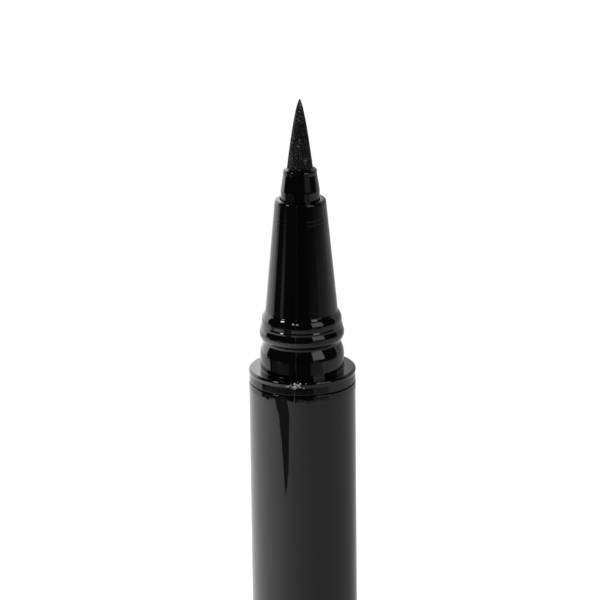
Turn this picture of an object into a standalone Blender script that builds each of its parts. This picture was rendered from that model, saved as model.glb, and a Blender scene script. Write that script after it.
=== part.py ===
"""A brush-tip liquid eyeliner pen, built as separate moulded and turned pieces.

The pen stands upright, tip up, with its cap pushed onto the tail. Lengths are in metres, +Z is
the axis of the pen, and the origin is the middle of the cap's closed end, which it stands on.
Every piece is drawn as a half outline of corners and turned about the axis. Its own heights
count from its seat, and its object is placed at that seat.
"""

import math
from typing import NamedTuple

import bmesh
import bpy

MM = 0.001

# Facets and arcs
OUTER_SIDES = 32
INNER_SIDES = 20
CORE_SIDES = 16
ARC_STEPS = 2
SHARP_ANGLE = math.radians(32.0)
WELD_DISTANCE = 0.0001 * MM

# Fits between pieces
PRESS_GAP = 0.05 * MM
SEAT_GAP = 0.10 * MM
SLIP_GAP = 0.15 * MM
SMALL_ROUND = 0.10 * MM

# Barrel
BARREL_RADIUS = 5.40 * MM
BARREL_WALL = 0.80 * MM
BARREL_LENGTH = 80.0 * MM
BARREL_BORE = BARREL_RADIUS - BARREL_WALL

# Cap walls, which set the neck that the cap fits
CAP_MOUTH_WALL = 1.15 * MM
CAP_WALL = 0.62 * MM
CAP_EDGE_ROUND = 0.12 * MM
CAP_BORE = BARREL_RADIUS - CAP_WALL
CAP_MOUTH_BORE = BARREL_RADIUS - CAP_MOUTH_WALL

# Front section: flange, neck, two beads and a long cone
FLANGE_HEIGHT = 1.36 * MM
FLANGE_LIP = 0.074 * MM
FLANGE_LIP_ROUND = 0.03 * MM
FLANGE_LIP_HEIGHT = 0.20 * MM
FLANGE_DRAFT = 0.062 * MM
NECK_RADIUS = CAP_MOUTH_BORE - PRESS_GAP
NECK_HEIGHT = 1.92 * MM
NECK_CROWN = 0.61 * MM
NECK_CROWN_DEPTH = 0.31 * MM
NECK_ROUND = 1.29 * MM
GROOVE_DEPTH = 0.40 * MM
GROOVE_HEIGHT = 0.33 * MM
GROOVE_ROUND = 0.08 * MM
SNAP_BEAD_PROUD = 0.03 * MM
SNAP_BEAD_FLANK = 0.80 * MM
SNAP_BEAD_SHOULDER = 0.70 * MM
SNAP_BEAD_DRAFT = 0.12 * MM
SNAP_BEAD_ROUND = 0.46 * MM
SEAL_BEAD_SET_IN = 0.21 * MM
SEAL_BEAD_HEIGHT = 1.34 * MM
SEAL_BEAD_ROUND = 0.40 * MM
CONE_SET_IN = 0.54 * MM
CONE_HEIGHT = 11.88 * MM
CONE_RIM_WALL = 0.54 * MM
CONE_RIM_ROUND = 0.24 * MM
CONE_WALL = 0.85 * MM

# Nib and its holder
NIB_RADIUS = 1.315 * MM
NIB_EXPOSED = 7.24 * MM
NIB_POINT_POWER = 0.68
NIB_STEPS = 9
NIB_ROOT_RADIUS = 1.55 * MM
NIB_ROOT_HEIGHT = 2.00 * MM
NIB_SOCKET_DEPTH = 3.00 * MM
HOLDER_EXPOSED = 3.09 * MM
HOLDER_TIP_WALL = 0.365 * MM
HOLDER_TIP_LAND = 0.52 * MM
HOLDER_LAND_FLARE = 0.02 * MM
HOLDER_TAPER_HEIGHT = 1.66 * MM
HOLDER_FLARE = 0.275 * MM
HOLDER_RIM_ROUND = 0.10 * MM
HOLDER_DEPTH = 6.90 * MM
HOLDER_FLANGE = 0.30 * MM
HOLDER_FLANGE_HEIGHT = 1.30 * MM
HOLDER_SOCKET_DEPTH = 2.70 * MM

# Feed: a fibre core inside a collector with a comb of fins
CORE_RADIUS = 0.55 * MM
CORE_POINT = 0.30 * MM
CORE_INTO_INK = 1.50 * MM
STEM_BELOW_PLUG = 0.50 * MM
FIN_COUNT = 8
FIN_PITCH = 1.10 * MM
FIN_THICKNESS = 0.50 * MM
FIN_ROOT = 0.50 * MM
COLLAR_LIFT = 0.60 * MM
COLLAR_HEIGHT = 2.00 * MM
SLIT_ANGLE = math.radians(15.0)

# Section spigot inside the barrel
SPIGOT_WALL = 0.85 * MM
SPIGOT_ROOF_DROP = 0.40 * MM
SPIGOT_LEAD = 0.30 * MM

# Rubber rings in their grooves
RING_GROOVE_DEPTH = 0.50 * MM
RING_GROOVE_HEIGHT = 0.80 * MM
RING_GROOVE_FROM_END = 3.00 * MM
RING_ARC_SHARES = [(math.cos(turn), math.sin(turn)) for turn in
                   (math.radians(45.0 * step) for step in range(8))]

# Ink tank, its two plugs and the ball that stirs the ink
TANK_WALL = 0.60 * MM
TANK_SLACK = 0.20 * MM
TANK_NECK_LENGTH = 5.00 * MM
TANK_NECK_WALL = 0.60 * MM
PARTITION_DEPTH = 0.80 * MM
PARTITION_HEIGHT = 3.00 * MM
TANK_PLUG_FLANGE = 1.00 * MM
TANK_PLUG_DEPTH = 2.00 * MM
DISH_RADIUS = 1.50 * MM
DISH_DEPTH = 0.30 * MM
BALL_RADIUS = 1.60 * MM
BALL_RINGS = 10

# Tail plug, with the stub that the cap is pushed onto
TAIL_FLANGE_HEIGHT = 1.20 * MM
TAIL_SPIGOT_LENGTH = 8.00 * MM
TAIL_BORE = 2.40 * MM
TAIL_END_WALL = 0.90 * MM
NOSE_LENGTH = 6.50 * MM
NOSE_SLACK = 0.30 * MM
NOSE_ROUND = 0.80 * MM

# Cap inside: snap ridge, sprung inner cap and crown
RIDGE_BITE = 0.15 * MM
RIDGE_HALF_HEIGHT = 0.25 * MM
BEAD_PASS_GAP = 0.08 * MM
INNER_CAP_LIP_GAP = 0.04 * MM
INNER_CAP_LIP_HEIGHT = 1.30 * MM
INNER_CAP_CLEARANCE = 0.12 * MM
INNER_CAP_HEADROOM = 1.50 * MM
INNER_CAP_WALL = 0.65 * MM
INNER_CAP_END_WALL = 0.80 * MM
INNER_CAP_GUIDE_HEIGHT = 4.00 * MM
SPRING_LENGTH = 14.0 * MM
SPRING_WIRE = 0.25 * MM
SPRING_TURNS = 7
SPRING_POINTS_A_TURN = 10
SPRING_SLACK = 0.25 * MM
BOSS_RADIUS = 2.10 * MM
BOSS_HEIGHT = 1.60 * MM
CROWN_HEIGHT = 1.20 * MM
CROWN_ROUND = 0.40 * MM
CROWN_FLOOR = 1.60 * MM
CROWN_SKIRT_HEIGHT = 3.00 * MM
CROWN_SKIRT_WALL = 0.80 * MM

# Heights on the front section, counted from the top of its flange
NECK_EDGE = NECK_HEIGHT + NECK_CROWN
GROOVE_TOP = NECK_EDGE + GROOVE_HEIGHT
SNAP_BEAD_WIDEST = GROOVE_TOP + SNAP_BEAD_FLANK
SNAP_BEAD_TOP = SNAP_BEAD_WIDEST + SNAP_BEAD_SHOULDER
SEAL_BEAD_TOP = SNAP_BEAD_TOP + SEAL_BEAD_HEIGHT
SECTION_TOP = SEAL_BEAD_TOP + CONE_HEIGHT
HOLDER_FOOT = SECTION_TOP - HOLDER_DEPTH
HOLDER_TOP = SECTION_TOP + HOLDER_EXPOSED
NIB_TIP = HOLDER_TOP + NIB_EXPOSED
NIB_ROOT_TOP = HOLDER_FOOT + HOLDER_SOCKET_DEPTH - SEAT_GAP
NIB_ROOT_FOOT = NIB_ROOT_TOP - NIB_ROOT_HEIGHT

# Radii that follow from the sizes above
SNAP_BEAD_RADIUS = NECK_RADIUS + SNAP_BEAD_PROUD
SEAL_BEAD_RADIUS = NECK_RADIUS - SEAL_BEAD_SET_IN
GROOVE_RADIUS = NECK_RADIUS - GROOVE_DEPTH
CONE_RADIUS = NECK_RADIUS - CONE_SET_IN
HOLDER_TIP_RADIUS = NIB_RADIUS + HOLDER_TIP_WALL
HOLDER_RADIUS = HOLDER_TIP_RADIUS + HOLDER_FLARE
CONE_TOP_RADIUS = HOLDER_RADIUS + CONE_RIM_WALL + PRESS_GAP
SPIGOT_RADIUS = BARREL_BORE - PRESS_GAP
SPIGOT_BORE = SPIGOT_RADIUS - SPIGOT_WALL
CONE_BORE = CONE_RADIUS - CONE_WALL
STEM_BORE = CORE_RADIUS + PRESS_GAP
STEM_RADIUS = NIB_ROOT_RADIUS - PRESS_GAP
TANK_RADIUS = BARREL_BORE - TANK_SLACK
TANK_BORE = TANK_RADIUS - TANK_WALL
TANK_NECK_RADIUS = SPIGOT_BORE - PRESS_GAP
TANK_NECK_BORE = TANK_NECK_RADIUS - TANK_NECK_WALL
INNER_CAP_BORE = CONE_RADIUS + INNER_CAP_CLEARANCE
INNER_CAP_RADIUS = INNER_CAP_BORE + INNER_CAP_WALL
GUIDE_RADIUS = CAP_BORE - PRESS_GAP
NOSE_RADIUS = INNER_CAP_BORE - NOSE_SLACK

# The cap from its mouth inwards, and its length
RIDGE_DEPTH = GROOVE_TOP
LEDGE_DEPTH = SNAP_BEAD_TOP + SEAT_GAP
INNER_CAP_RIM_DEPTH = LEDGE_DEPTH + SEAT_GAP
INNER_CAP_ROOF_DEPTH = NIB_TIP + INNER_CAP_HEADROOM
INNER_CAP_END_DEPTH = INNER_CAP_ROOF_DEPTH + INNER_CAP_END_WALL
CAP_LENGTH = INNER_CAP_END_DEPTH + SPRING_LENGTH + 2 * SEAT_GAP + CROWN_FLOOR

# The spigot is as long as the comb and the tank's neck that it holds
COMB_LENGTH = (FIN_COUNT - 1) * FIN_PITCH + FIN_THICKNESS
COMB_TOP_DROP = SPIGOT_ROOF_DROP + SEAT_GAP
COMB_FOOT_DROP = COMB_TOP_DROP + COMB_LENGTH
TANK_NECK_DROP = COMB_FOOT_DROP + SEAT_GAP
SPIGOT_LENGTH = TANK_NECK_DROP + TANK_NECK_LENGTH - SEAT_GAP
PARTITION_FOOT_DROP = TANK_NECK_DROP + PARTITION_DEPTH + PARTITION_HEIGHT
STEM_FOOT_DROP = PARTITION_FOOT_DROP + STEM_BELOW_PLUG
CORE_FOOT_DROP = STEM_FOOT_DROP + CORE_INTO_INK

# Seats up the axis
TAIL_SEAT = CAP_LENGTH + SEAT_GAP
BARREL_SEAT = TAIL_SEAT + TAIL_FLANGE_HEIGHT + SEAT_GAP
SECTION_SEAT = BARREL_SEAT + BARREL_LENGTH + SEAT_GAP
SHOULDER = SECTION_SEAT + FLANGE_HEIGHT
TANK_PLUG_SEAT = TAIL_SEAT + TAIL_FLANGE_HEIGHT + TAIL_SPIGOT_LENGTH + SEAT_GAP
TANK_SEAT = TANK_PLUG_SEAT + TANK_PLUG_FLANGE + SEAT_GAP
TANK_SHOULDER = SECTION_SEAT - SPIGOT_LENGTH - SEAT_GAP
BALL_SEAT = TANK_PLUG_SEAT + TANK_PLUG_FLANGE + TANK_PLUG_DEPTH - DISH_DEPTH
SPRING_SEAT = CROWN_FLOOR + SEAT_GAP


class Corner(NamedTuple):
    """One corner of a half outline: its radius, its height and how far it is rounded."""

    radius: float
    height: float
    round: float = 0.0


class Finish(NamedTuple):
    """A plain surface: colour, roughness and how metallic it is."""

    name: str
    colour: tuple
    roughness: float
    metallic: float = 0.0


GLOSS_BLACK = Finish("gloss_black_plastic", (0.012, 0.012, 0.013), 0.12)
BLACK_FIBRE = Finish("black_brush_fibre", (0.010, 0.010, 0.011), 0.80)
GREY_FIBRE = Finish("grey_feed_fibre", (0.22, 0.22, 0.23), 0.85)
WHITE_PLASTIC = Finish("natural_white_plastic", (0.78, 0.78, 0.76), 0.35)
CLEAR_PLASTIC = Finish("milky_tank_plastic", (0.70, 0.71, 0.70), 0.25)
BLACK_RUBBER = Finish("black_rubber", (0.020, 0.020, 0.020), 0.70)
STEEL = Finish("bright_steel", (0.62, 0.62, 0.63), 0.20, 1.0)


def clear_scene():
    """Remove every object that the scene starts with."""
    for thing in list(bpy.data.objects):
        bpy.data.objects.remove(thing, do_unlink=True)


def material(finish):
    """Return the Principled material of a finish, made once and then shared."""
    made = bpy.data.materials.get(finish.name)
    if made:
        return made
    made = bpy.data.materials.new(finish.name)
    made.use_nodes = True
    shader = made.node_tree.nodes["Principled BSDF"]
    shader.inputs["Base Color"].default_value = (*finish.colour, 1.0)
    shader.inputs["Roughness"].default_value = finish.roughness
    shader.inputs["Metallic"].default_value = finish.metallic
    return made


def rounded(corners, closed):
    """Turn corners into points, with an arc at each corner that has a rounding.

    The arc shrinks where a short side leaves too little room for it.
    """
    points = []
    last = len(corners) - 1
    for index, corner in enumerate(corners):
        inside = closed or 0 < index < last
        if corner.round <= 0 or not inside:
            points.append((corner.radius, corner.height))
            continue
        before = corners[index - 1]
        after = corners[(index + 1) % len(corners)]
        points.extend(corner_arc(before, corner, after))
    return points


def corner_arc(before, corner, after):
    """Return the points of the arc that rounds one corner."""
    back = (before.radius - corner.radius, before.height - corner.height)
    ahead = (after.radius - corner.radius, after.height - corner.height)
    back_length, ahead_length = math.hypot(*back), math.hypot(*ahead)
    back = (back[0] / back_length, back[1] / back_length)
    ahead = (ahead[0] / ahead_length, ahead[1] / ahead_length)
    half = math.acos(max(-1.0, min(1.0, back[0] * ahead[0] + back[1] * ahead[1]))) / 2
    reach = min(corner.round / math.tan(half), back_length / 2, ahead_length / 2)
    arc = reach * math.tan(half)
    middle = (back[0] + ahead[0], back[1] + ahead[1])
    to_centre = arc / math.sin(half) / math.hypot(*middle)
    centre = (corner.radius + middle[0] * to_centre, corner.height + middle[1] * to_centre)
    first = math.atan2(corner.height + back[1] * reach - centre[1],
                       corner.radius + back[0] * reach - centre[0])
    final = math.atan2(corner.height + ahead[1] * reach - centre[1],
                       corner.radius + ahead[0] * reach - centre[0])
    sweep = (final - first + math.pi) % math.tau - math.pi
    turns = [first + sweep * step / ARC_STEPS for step in range(ARC_STEPS + 1)]
    return [(centre[0] + arc * math.cos(turn), centre[1] + arc * math.sin(turn)) for turn in turns]


def turned(name, corners, finish, sides=INNER_SIDES, slit=0.0):
    """Turn a half outline about the axis and return the new object.

    An outline that starts and ends on the axis is solid, and any other is a ring. A slit is the
    angle left open down one side, whose two cut faces are then closed.
    """
    ring = not (corners[0].radius == 0 and corners[-1].radius == 0)
    points = rounded(corners, ring)
    shape = bmesh.new()
    start = [shape.verts.new((radius, 0, height)) for radius, height in points]
    pairs = list(zip(start, start[1:]))
    if ring:
        pairs.append((start[-1], start[0]))
    edges = [shape.edges.new(pair) for pair in pairs]
    spun = bmesh.ops.spin(shape, geom=start + edges, cent=(0, 0, 0), axis=(0, 0, 1),
                          angle=math.tau - slit, steps=sides, use_merge=slit == 0)
    if slit:
        end_edges = [part for part in spun["geom_last"] if isinstance(part, bmesh.types.BMEdge)]
        bmesh.ops.contextual_create(shape, geom=edges)
        bmesh.ops.contextual_create(shape, geom=end_edges)
    bmesh.ops.remove_doubles(shape, verts=shape.verts, dist=WELD_DISTANCE)
    bmesh.ops.recalc_face_normals(shape, faces=shape.faces)
    mesh = bpy.data.meshes.new(name)
    shape.to_mesh(mesh)
    shape.free()
    mesh.shade_smooth()
    mesh.set_sharp_from_angle(angle=SHARP_ANGLE)
    mesh.materials.append(material(finish))
    made = bpy.data.objects.new(name, mesh)
    bpy.context.collection.objects.link(made)
    return made


def axis_empty(name, height):
    """Return an empty on the axis that carries the pieces of one moving body."""
    empty = bpy.data.objects.new(name, None)
    empty.location.z = height
    bpy.context.collection.objects.link(empty)
    return empty


def seat(piece, carrier, height):
    """Hang a piece on its carrier, with its own origin at a height above the floor."""
    piece.parent = carrier
    piece.location.z = height - carrier.location.z


def barrel():
    """The outer tube, open at both ends."""
    return turned("barrel", [
        Corner(BARREL_RADIUS, BARREL_LENGTH, SMALL_ROUND),
        Corner(BARREL_RADIUS, 0, SMALL_ROUND),
        Corner(BARREL_BORE, 0),
        Corner(BARREL_BORE, BARREL_LENGTH),
    ], GLOSS_BLACK, OUTER_SIDES)


def front_section():
    """The moulding that shows in front: flange, neck, two beads, cone and the spigot below."""
    lip = BARREL_RADIUS + FLANGE_LIP
    draft = BARREL_RADIUS - FLANGE_DRAFT
    top = FLANGE_HEIGHT
    groove_foot = -RING_GROOVE_FROM_END - RING_GROOVE_HEIGHT
    groove_floor = SPIGOT_RADIUS - RING_GROOVE_DEPTH
    holder_stop = top + HOLDER_FOOT + HOLDER_FLANGE_HEIGHT + SEAT_GAP
    flange_bore = HOLDER_RADIUS + HOLDER_FLANGE + PRESS_GAP
    return turned("front_section", [
        Corner(CONE_TOP_RADIUS, top + SECTION_TOP, CONE_RIM_ROUND),
        Corner(CONE_RADIUS, top + SEAL_BEAD_TOP),
        Corner(SEAL_BEAD_RADIUS, top + SEAL_BEAD_TOP, SEAL_BEAD_ROUND),
        Corner(SEAL_BEAD_RADIUS, top + SNAP_BEAD_TOP),
        Corner(SNAP_BEAD_RADIUS - SNAP_BEAD_DRAFT, top + SNAP_BEAD_TOP),
        Corner(SNAP_BEAD_RADIUS, top + SNAP_BEAD_WIDEST, SNAP_BEAD_ROUND),
        Corner(GROOVE_RADIUS, top + GROOVE_TOP, GROOVE_ROUND),
        Corner(NECK_RADIUS - NECK_CROWN_DEPTH, top + NECK_EDGE),
        Corner(NECK_RADIUS, top + NECK_HEIGHT, NECK_ROUND),
        Corner(NECK_RADIUS, top),
        Corner(lip, top, FLANGE_LIP_ROUND),
        Corner(draft, top - FLANGE_LIP_HEIGHT),
        Corner(draft, 0),
        Corner(SPIGOT_RADIUS, 0),
        Corner(SPIGOT_RADIUS, -RING_GROOVE_FROM_END),
        Corner(groove_floor, -RING_GROOVE_FROM_END),
        Corner(groove_floor, groove_foot),
        Corner(SPIGOT_RADIUS, groove_foot),
        Corner(SPIGOT_RADIUS, SPIGOT_LEAD - SPIGOT_LENGTH),
        Corner(SPIGOT_RADIUS - SPIGOT_LEAD, -SPIGOT_LENGTH),
        Corner(SPIGOT_BORE, -SPIGOT_LENGTH),
        Corner(SPIGOT_BORE, -SPIGOT_ROOF_DROP),
        Corner(CONE_BORE, -SPIGOT_ROOF_DROP),
        Corner(CONE_BORE, top + SEAL_BEAD_TOP),
        Corner(flange_bore, top + HOLDER_FOOT),
        Corner(flange_bore, holder_stop),
        Corner(HOLDER_RADIUS + PRESS_GAP, holder_stop),
        Corner(HOLDER_RADIUS + PRESS_GAP, top + SECTION_TOP),
    ], GLOSS_BLACK, OUTER_SIDES)


def nib_holder():
    """The tapered sleeve that grips the nib, put in from behind against its flange."""
    height = HOLDER_DEPTH + HOLDER_EXPOSED
    flange = HOLDER_RADIUS + HOLDER_FLANGE
    socket = NIB_ROOT_RADIUS + PRESS_GAP
    bore = NIB_RADIUS + PRESS_GAP
    return turned("nib_holder", [
        Corner(HOLDER_TIP_RADIUS, height, HOLDER_RIM_ROUND),
        Corner(HOLDER_TIP_RADIUS + HOLDER_LAND_FLARE, height - HOLDER_TIP_LAND),
        Corner(HOLDER_RADIUS, height - HOLDER_TIP_LAND - HOLDER_TAPER_HEIGHT),
        Corner(HOLDER_RADIUS, HOLDER_FLANGE_HEIGHT),
        Corner(flange, HOLDER_FLANGE_HEIGHT),
        Corner(flange, 0),
        Corner(socket, 0),
        Corner(socket, HOLDER_SOCKET_DEPTH),
        Corner(bore, HOLDER_SOCKET_DEPTH),
        Corner(bore, height),
    ], GLOSS_BLACK)


def brush_nib():
    """The bonded fibre nib: a bowed point, a straight shank and a thicker root."""
    shank_top = HOLDER_TOP - NIB_ROOT_FOOT
    point = []
    for step in range(NIB_STEPS + 1):
        share = 1 - step / NIB_STEPS
        radius = NIB_RADIUS * (1 - share) ** NIB_POINT_POWER
        point.append(Corner(radius, shank_top + NIB_EXPOSED * share))
    return turned("brush_nib", point + [
        Corner(NIB_RADIUS, NIB_ROOT_HEIGHT),
        Corner(NIB_ROOT_RADIUS, NIB_ROOT_HEIGHT),
        Corner(NIB_ROOT_RADIUS, 0),
        Corner(STEM_BORE, 0),
        Corner(STEM_BORE, NIB_SOCKET_DEPTH),
        Corner(0, NIB_SOCKET_DEPTH),
    ], BLACK_FIBRE)


def collector():
    """The comb that buffers the ink: fins below, a collar and a stem up to the nib."""
    fin = SPIGOT_BORE - SLIP_GAP
    root = STEM_RADIUS + FIN_ROOT
    collar = CONE_BORE - SLIP_GAP
    collar_foot = COMB_TOP_DROP + FLANGE_HEIGHT + COLLAR_LIFT
    nose_top = COMB_TOP_DROP + FLANGE_HEIGHT + NIB_ROOT_FOOT - SEAT_GAP
    outline = [
        Corner(STEM_RADIUS, nose_top),
        Corner(STEM_RADIUS, collar_foot + COLLAR_HEIGHT),
        Corner(collar, collar_foot + COLLAR_HEIGHT),
        Corner(collar, collar_foot),
        Corner(root, collar_foot),
    ]
    for index in range(FIN_COUNT):
        fin_top = -index * FIN_PITCH
        outline.append(Corner(root, fin_top))
        outline.append(Corner(fin, fin_top))
        outline.append(Corner(fin, fin_top - FIN_THICKNESS))
        outline.append(Corner(root, fin_top - FIN_THICKNESS))
    stem_foot = COMB_TOP_DROP - STEM_FOOT_DROP
    outline.append(Corner(STEM_RADIUS, -COMB_LENGTH))
    outline.append(Corner(STEM_RADIUS, stem_foot))
    outline.append(Corner(STEM_BORE, stem_foot))
    outline.append(Corner(STEM_BORE, nose_top))
    return turned("collector", outline, WHITE_PLASTIC, slit=SLIT_ANGLE)


def feed_core():
    """The fibre rod that draws ink from the tank up into the nib."""
    length = CORE_FOOT_DROP + FLANGE_HEIGHT + NIB_ROOT_FOOT + NIB_SOCKET_DEPTH - SEAT_GAP
    tip = CORE_RADIUS - CORE_POINT
    return turned("feed_core", [
        Corner(0, length),
        Corner(tip, length),
        Corner(CORE_RADIUS, length - CORE_POINT),
        Corner(CORE_RADIUS, 0),
        Corner(0, 0),
    ], GREY_FIBRE, CORE_SIDES)


def sealing_ring(name):
    """A rubber ring that fills its groove between a spigot and the barrel."""
    groove_floor = SPIGOT_RADIUS - RING_GROOVE_DEPTH
    middle = (groove_floor + BARREL_BORE) / 2
    thick = (BARREL_BORE - groove_floor) / 2 - PRESS_GAP
    outline = [Corner(middle + thick * across, thick * along) for across, along in RING_ARC_SHARES]
    return turned(name, outline, BLACK_RUBBER)


def partition_plug():
    """The ring that closes the tank's neck round the collector's stem."""
    outer = TANK_NECK_BORE - PRESS_GAP
    inner = STEM_RADIUS + PRESS_GAP
    return turned("partition_plug", [
        Corner(outer, PARTITION_HEIGHT),
        Corner(outer, 0),
        Corner(inner, 0),
        Corner(inner, PARTITION_HEIGHT),
    ], WHITE_PLASTIC)


def ink_tank():
    """The tube that holds the ink, with a narrow neck that fits the section's spigot."""
    shoulder = TANK_SHOULDER - TANK_SEAT
    neck_top = SECTION_SEAT - TANK_NECK_DROP - TANK_SEAT
    return turned("ink_tank", [
        Corner(TANK_NECK_RADIUS, neck_top),
        Corner(TANK_NECK_RADIUS, shoulder),
        Corner(TANK_RADIUS, shoulder),
        Corner(TANK_RADIUS, 0),
        Corner(TANK_BORE, 0),
        Corner(TANK_BORE, shoulder - TANK_WALL),
        Corner(TANK_NECK_BORE, shoulder - TANK_WALL),
        Corner(TANK_NECK_BORE, neck_top),
    ], CLEAR_PLASTIC)


def tank_plug():
    """The plug that closes the tank's foot, dished where the ball rests."""
    top = TANK_PLUG_FLANGE + TANK_PLUG_DEPTH
    spigot = TANK_BORE - PRESS_GAP
    return turned("tank_plug", [
        Corner(0, top - DISH_DEPTH),
        Corner(DISH_RADIUS, top),
        Corner(spigot, top),
        Corner(spigot, TANK_PLUG_FLANGE),
        Corner(TANK_RADIUS, TANK_PLUG_FLANGE),
        Corner(TANK_RADIUS, 0),
        Corner(0, 0),
    ], WHITE_PLASTIC)


def mixing_ball():
    """The steel ball that stirs the ink when the pen is shaken."""
    outline = []
    for step in range(BALL_RINGS + 1):
        turn = math.pi * step / BALL_RINGS
        across = math.sin(turn) if 0 < step < BALL_RINGS else 0
        outline.append(Corner(BALL_RADIUS * across, BALL_RADIUS * math.cos(turn)))
    return turned("mixing_ball", outline, STEEL, CORE_SIDES)


def tail_plug():
    """The plug in the barrel's foot, with the stub below it that the cap is pushed onto."""
    top = TAIL_FLANGE_HEIGHT + TAIL_SPIGOT_LENGTH
    groove_top = TAIL_FLANGE_HEIGHT + RING_GROOVE_FROM_END + RING_GROOVE_HEIGHT
    groove_foot = TAIL_FLANGE_HEIGHT + RING_GROOVE_FROM_END
    groove_floor = SPIGOT_RADIUS - RING_GROOVE_DEPTH
    stub = RIDGE_DEPTH - RIDGE_HALF_HEIGHT - SEAT_GAP
    nose_end = -stub - NOSE_LENGTH
    return turned("tail_plug", [
        Corner(TAIL_BORE, top),
        Corner(SPIGOT_RADIUS - SPIGOT_LEAD, top),
        Corner(SPIGOT_RADIUS, top - SPIGOT_LEAD),
        Corner(SPIGOT_RADIUS, groove_top),
        Corner(groove_floor, groove_top),
        Corner(groove_floor, groove_foot),
        Corner(SPIGOT_RADIUS, groove_foot),
        Corner(SPIGOT_RADIUS, TAIL_FLANGE_HEIGHT),
        Corner(BARREL_RADIUS, TAIL_FLANGE_HEIGHT, SMALL_ROUND),
        Corner(BARREL_RADIUS, 0, SMALL_ROUND),
        Corner(NECK_RADIUS, 0),
        Corner(NECK_RADIUS, -stub),
        Corner(NOSE_RADIUS, -stub),
        Corner(NOSE_RADIUS, nose_end, NOSE_ROUND),
        Corner(0, nose_end),
        Corner(0, nose_end + TAIL_END_WALL),
        Corner(TAIL_BORE, nose_end + TAIL_END_WALL),
    ], GLOSS_BLACK, OUTER_SIDES)


def cap_shell():
    """The outer tube of the cap, with its snap ridge and the ledge that holds the inner cap."""
    length = CAP_LENGTH - CROWN_HEIGHT - SEAT_GAP
    ridge = length - RIDGE_DEPTH
    ledge = length - LEDGE_DEPTH
    pass_bore = SNAP_BEAD_RADIUS + BEAD_PASS_GAP
    return turned("cap_shell", [
        Corner(BARREL_RADIUS, length, CAP_EDGE_ROUND),
        Corner(BARREL_RADIUS, 0, SMALL_ROUND),
        Corner(CAP_BORE, 0),
        Corner(CAP_BORE, ledge),
        Corner(pass_bore, ledge),
        Corner(pass_bore, ridge - RIDGE_HALF_HEIGHT),
        Corner(SNAP_BEAD_RADIUS - RIDGE_BITE, ridge, RIDGE_HALF_HEIGHT),
        Corner(CAP_MOUTH_BORE, ridge + RIDGE_HALF_HEIGHT),
        Corner(CAP_MOUTH_BORE, length, CAP_EDGE_ROUND),
    ], GLOSS_BLACK, OUTER_SIDES)


def cap_crown():
    """The end plug of the cap, which the whole pen stands on."""
    return turned("cap_crown", [
        Corner(0, CROWN_FLOOR + BOSS_HEIGHT),
        Corner(BOSS_RADIUS, CROWN_FLOOR + BOSS_HEIGHT),
        Corner(BOSS_RADIUS, CROWN_FLOOR),
        Corner(GUIDE_RADIUS - CROWN_SKIRT_WALL, CROWN_FLOOR),
        Corner(GUIDE_RADIUS - CROWN_SKIRT_WALL, CROWN_HEIGHT + CROWN_SKIRT_HEIGHT),
        Corner(GUIDE_RADIUS, CROWN_HEIGHT + CROWN_SKIRT_HEIGHT),
        Corner(GUIDE_RADIUS, CROWN_HEIGHT),
        Corner(BARREL_RADIUS, CROWN_HEIGHT, SMALL_ROUND),
        Corner(BARREL_RADIUS, 0, CROWN_ROUND),
        Corner(0, 0),
    ], GLOSS_BLACK, OUTER_SIDES)


def inner_cap():
    """The sprung cup that seals round the nib, its mouth up towards the cap's mouth."""
    rim = INNER_CAP_END_DEPTH - INNER_CAP_RIM_DEPTH
    roof = INNER_CAP_END_WALL
    lip = SEAL_BEAD_RADIUS + INNER_CAP_LIP_GAP
    return turned("inner_cap", [
        Corner(0, roof),
        Corner(INNER_CAP_BORE, roof, NOSE_ROUND),
        Corner(INNER_CAP_BORE, rim - INNER_CAP_LIP_HEIGHT),
        Corner(lip, rim - INNER_CAP_LIP_HEIGHT),
        Corner(lip, rim),
        Corner(GUIDE_RADIUS, rim),
        Corner(GUIDE_RADIUS, rim - INNER_CAP_GUIDE_HEIGHT),
        Corner(INNER_CAP_RADIUS, rim - INNER_CAP_GUIDE_HEIGHT),
        Corner(INNER_CAP_RADIUS, 0, NOSE_ROUND),
        Corner(BOSS_RADIUS, 0),
        Corner(BOSS_RADIUS, -BOSS_HEIGHT),
        Corner(0, -BOSS_HEIGHT),
    ], WHITE_PLASTIC)


def inner_cap_spring():
    """The wire spring between the crown and the inner cap, as one open helix."""
    coil = BOSS_RADIUS + SPRING_SLACK + SPRING_WIRE
    rise = SPRING_LENGTH - 2 * SPRING_WIRE
    count = SPRING_TURNS * SPRING_POINTS_A_TURN
    curve = bpy.data.curves.new("inner_cap_spring", "CURVE")
    curve.dimensions = "3D"
    curve.bevel_depth = SPRING_WIRE
    curve.bevel_resolution = 1
    curve.use_fill_caps = True
    wire = curve.splines.new("POLY")
    wire.points.add(count)
    for index, point in enumerate(wire.points):
        turn = math.tau * index / SPRING_POINTS_A_TURN
        height = SPRING_WIRE + rise * index / count
        point.co = (coil * math.cos(turn), coil * math.sin(turn), height, 1)
    curve.materials.append(material(STEEL))
    made = bpy.data.objects.new("inner_cap_spring", curve)
    bpy.context.collection.objects.link(made)
    return made


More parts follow.
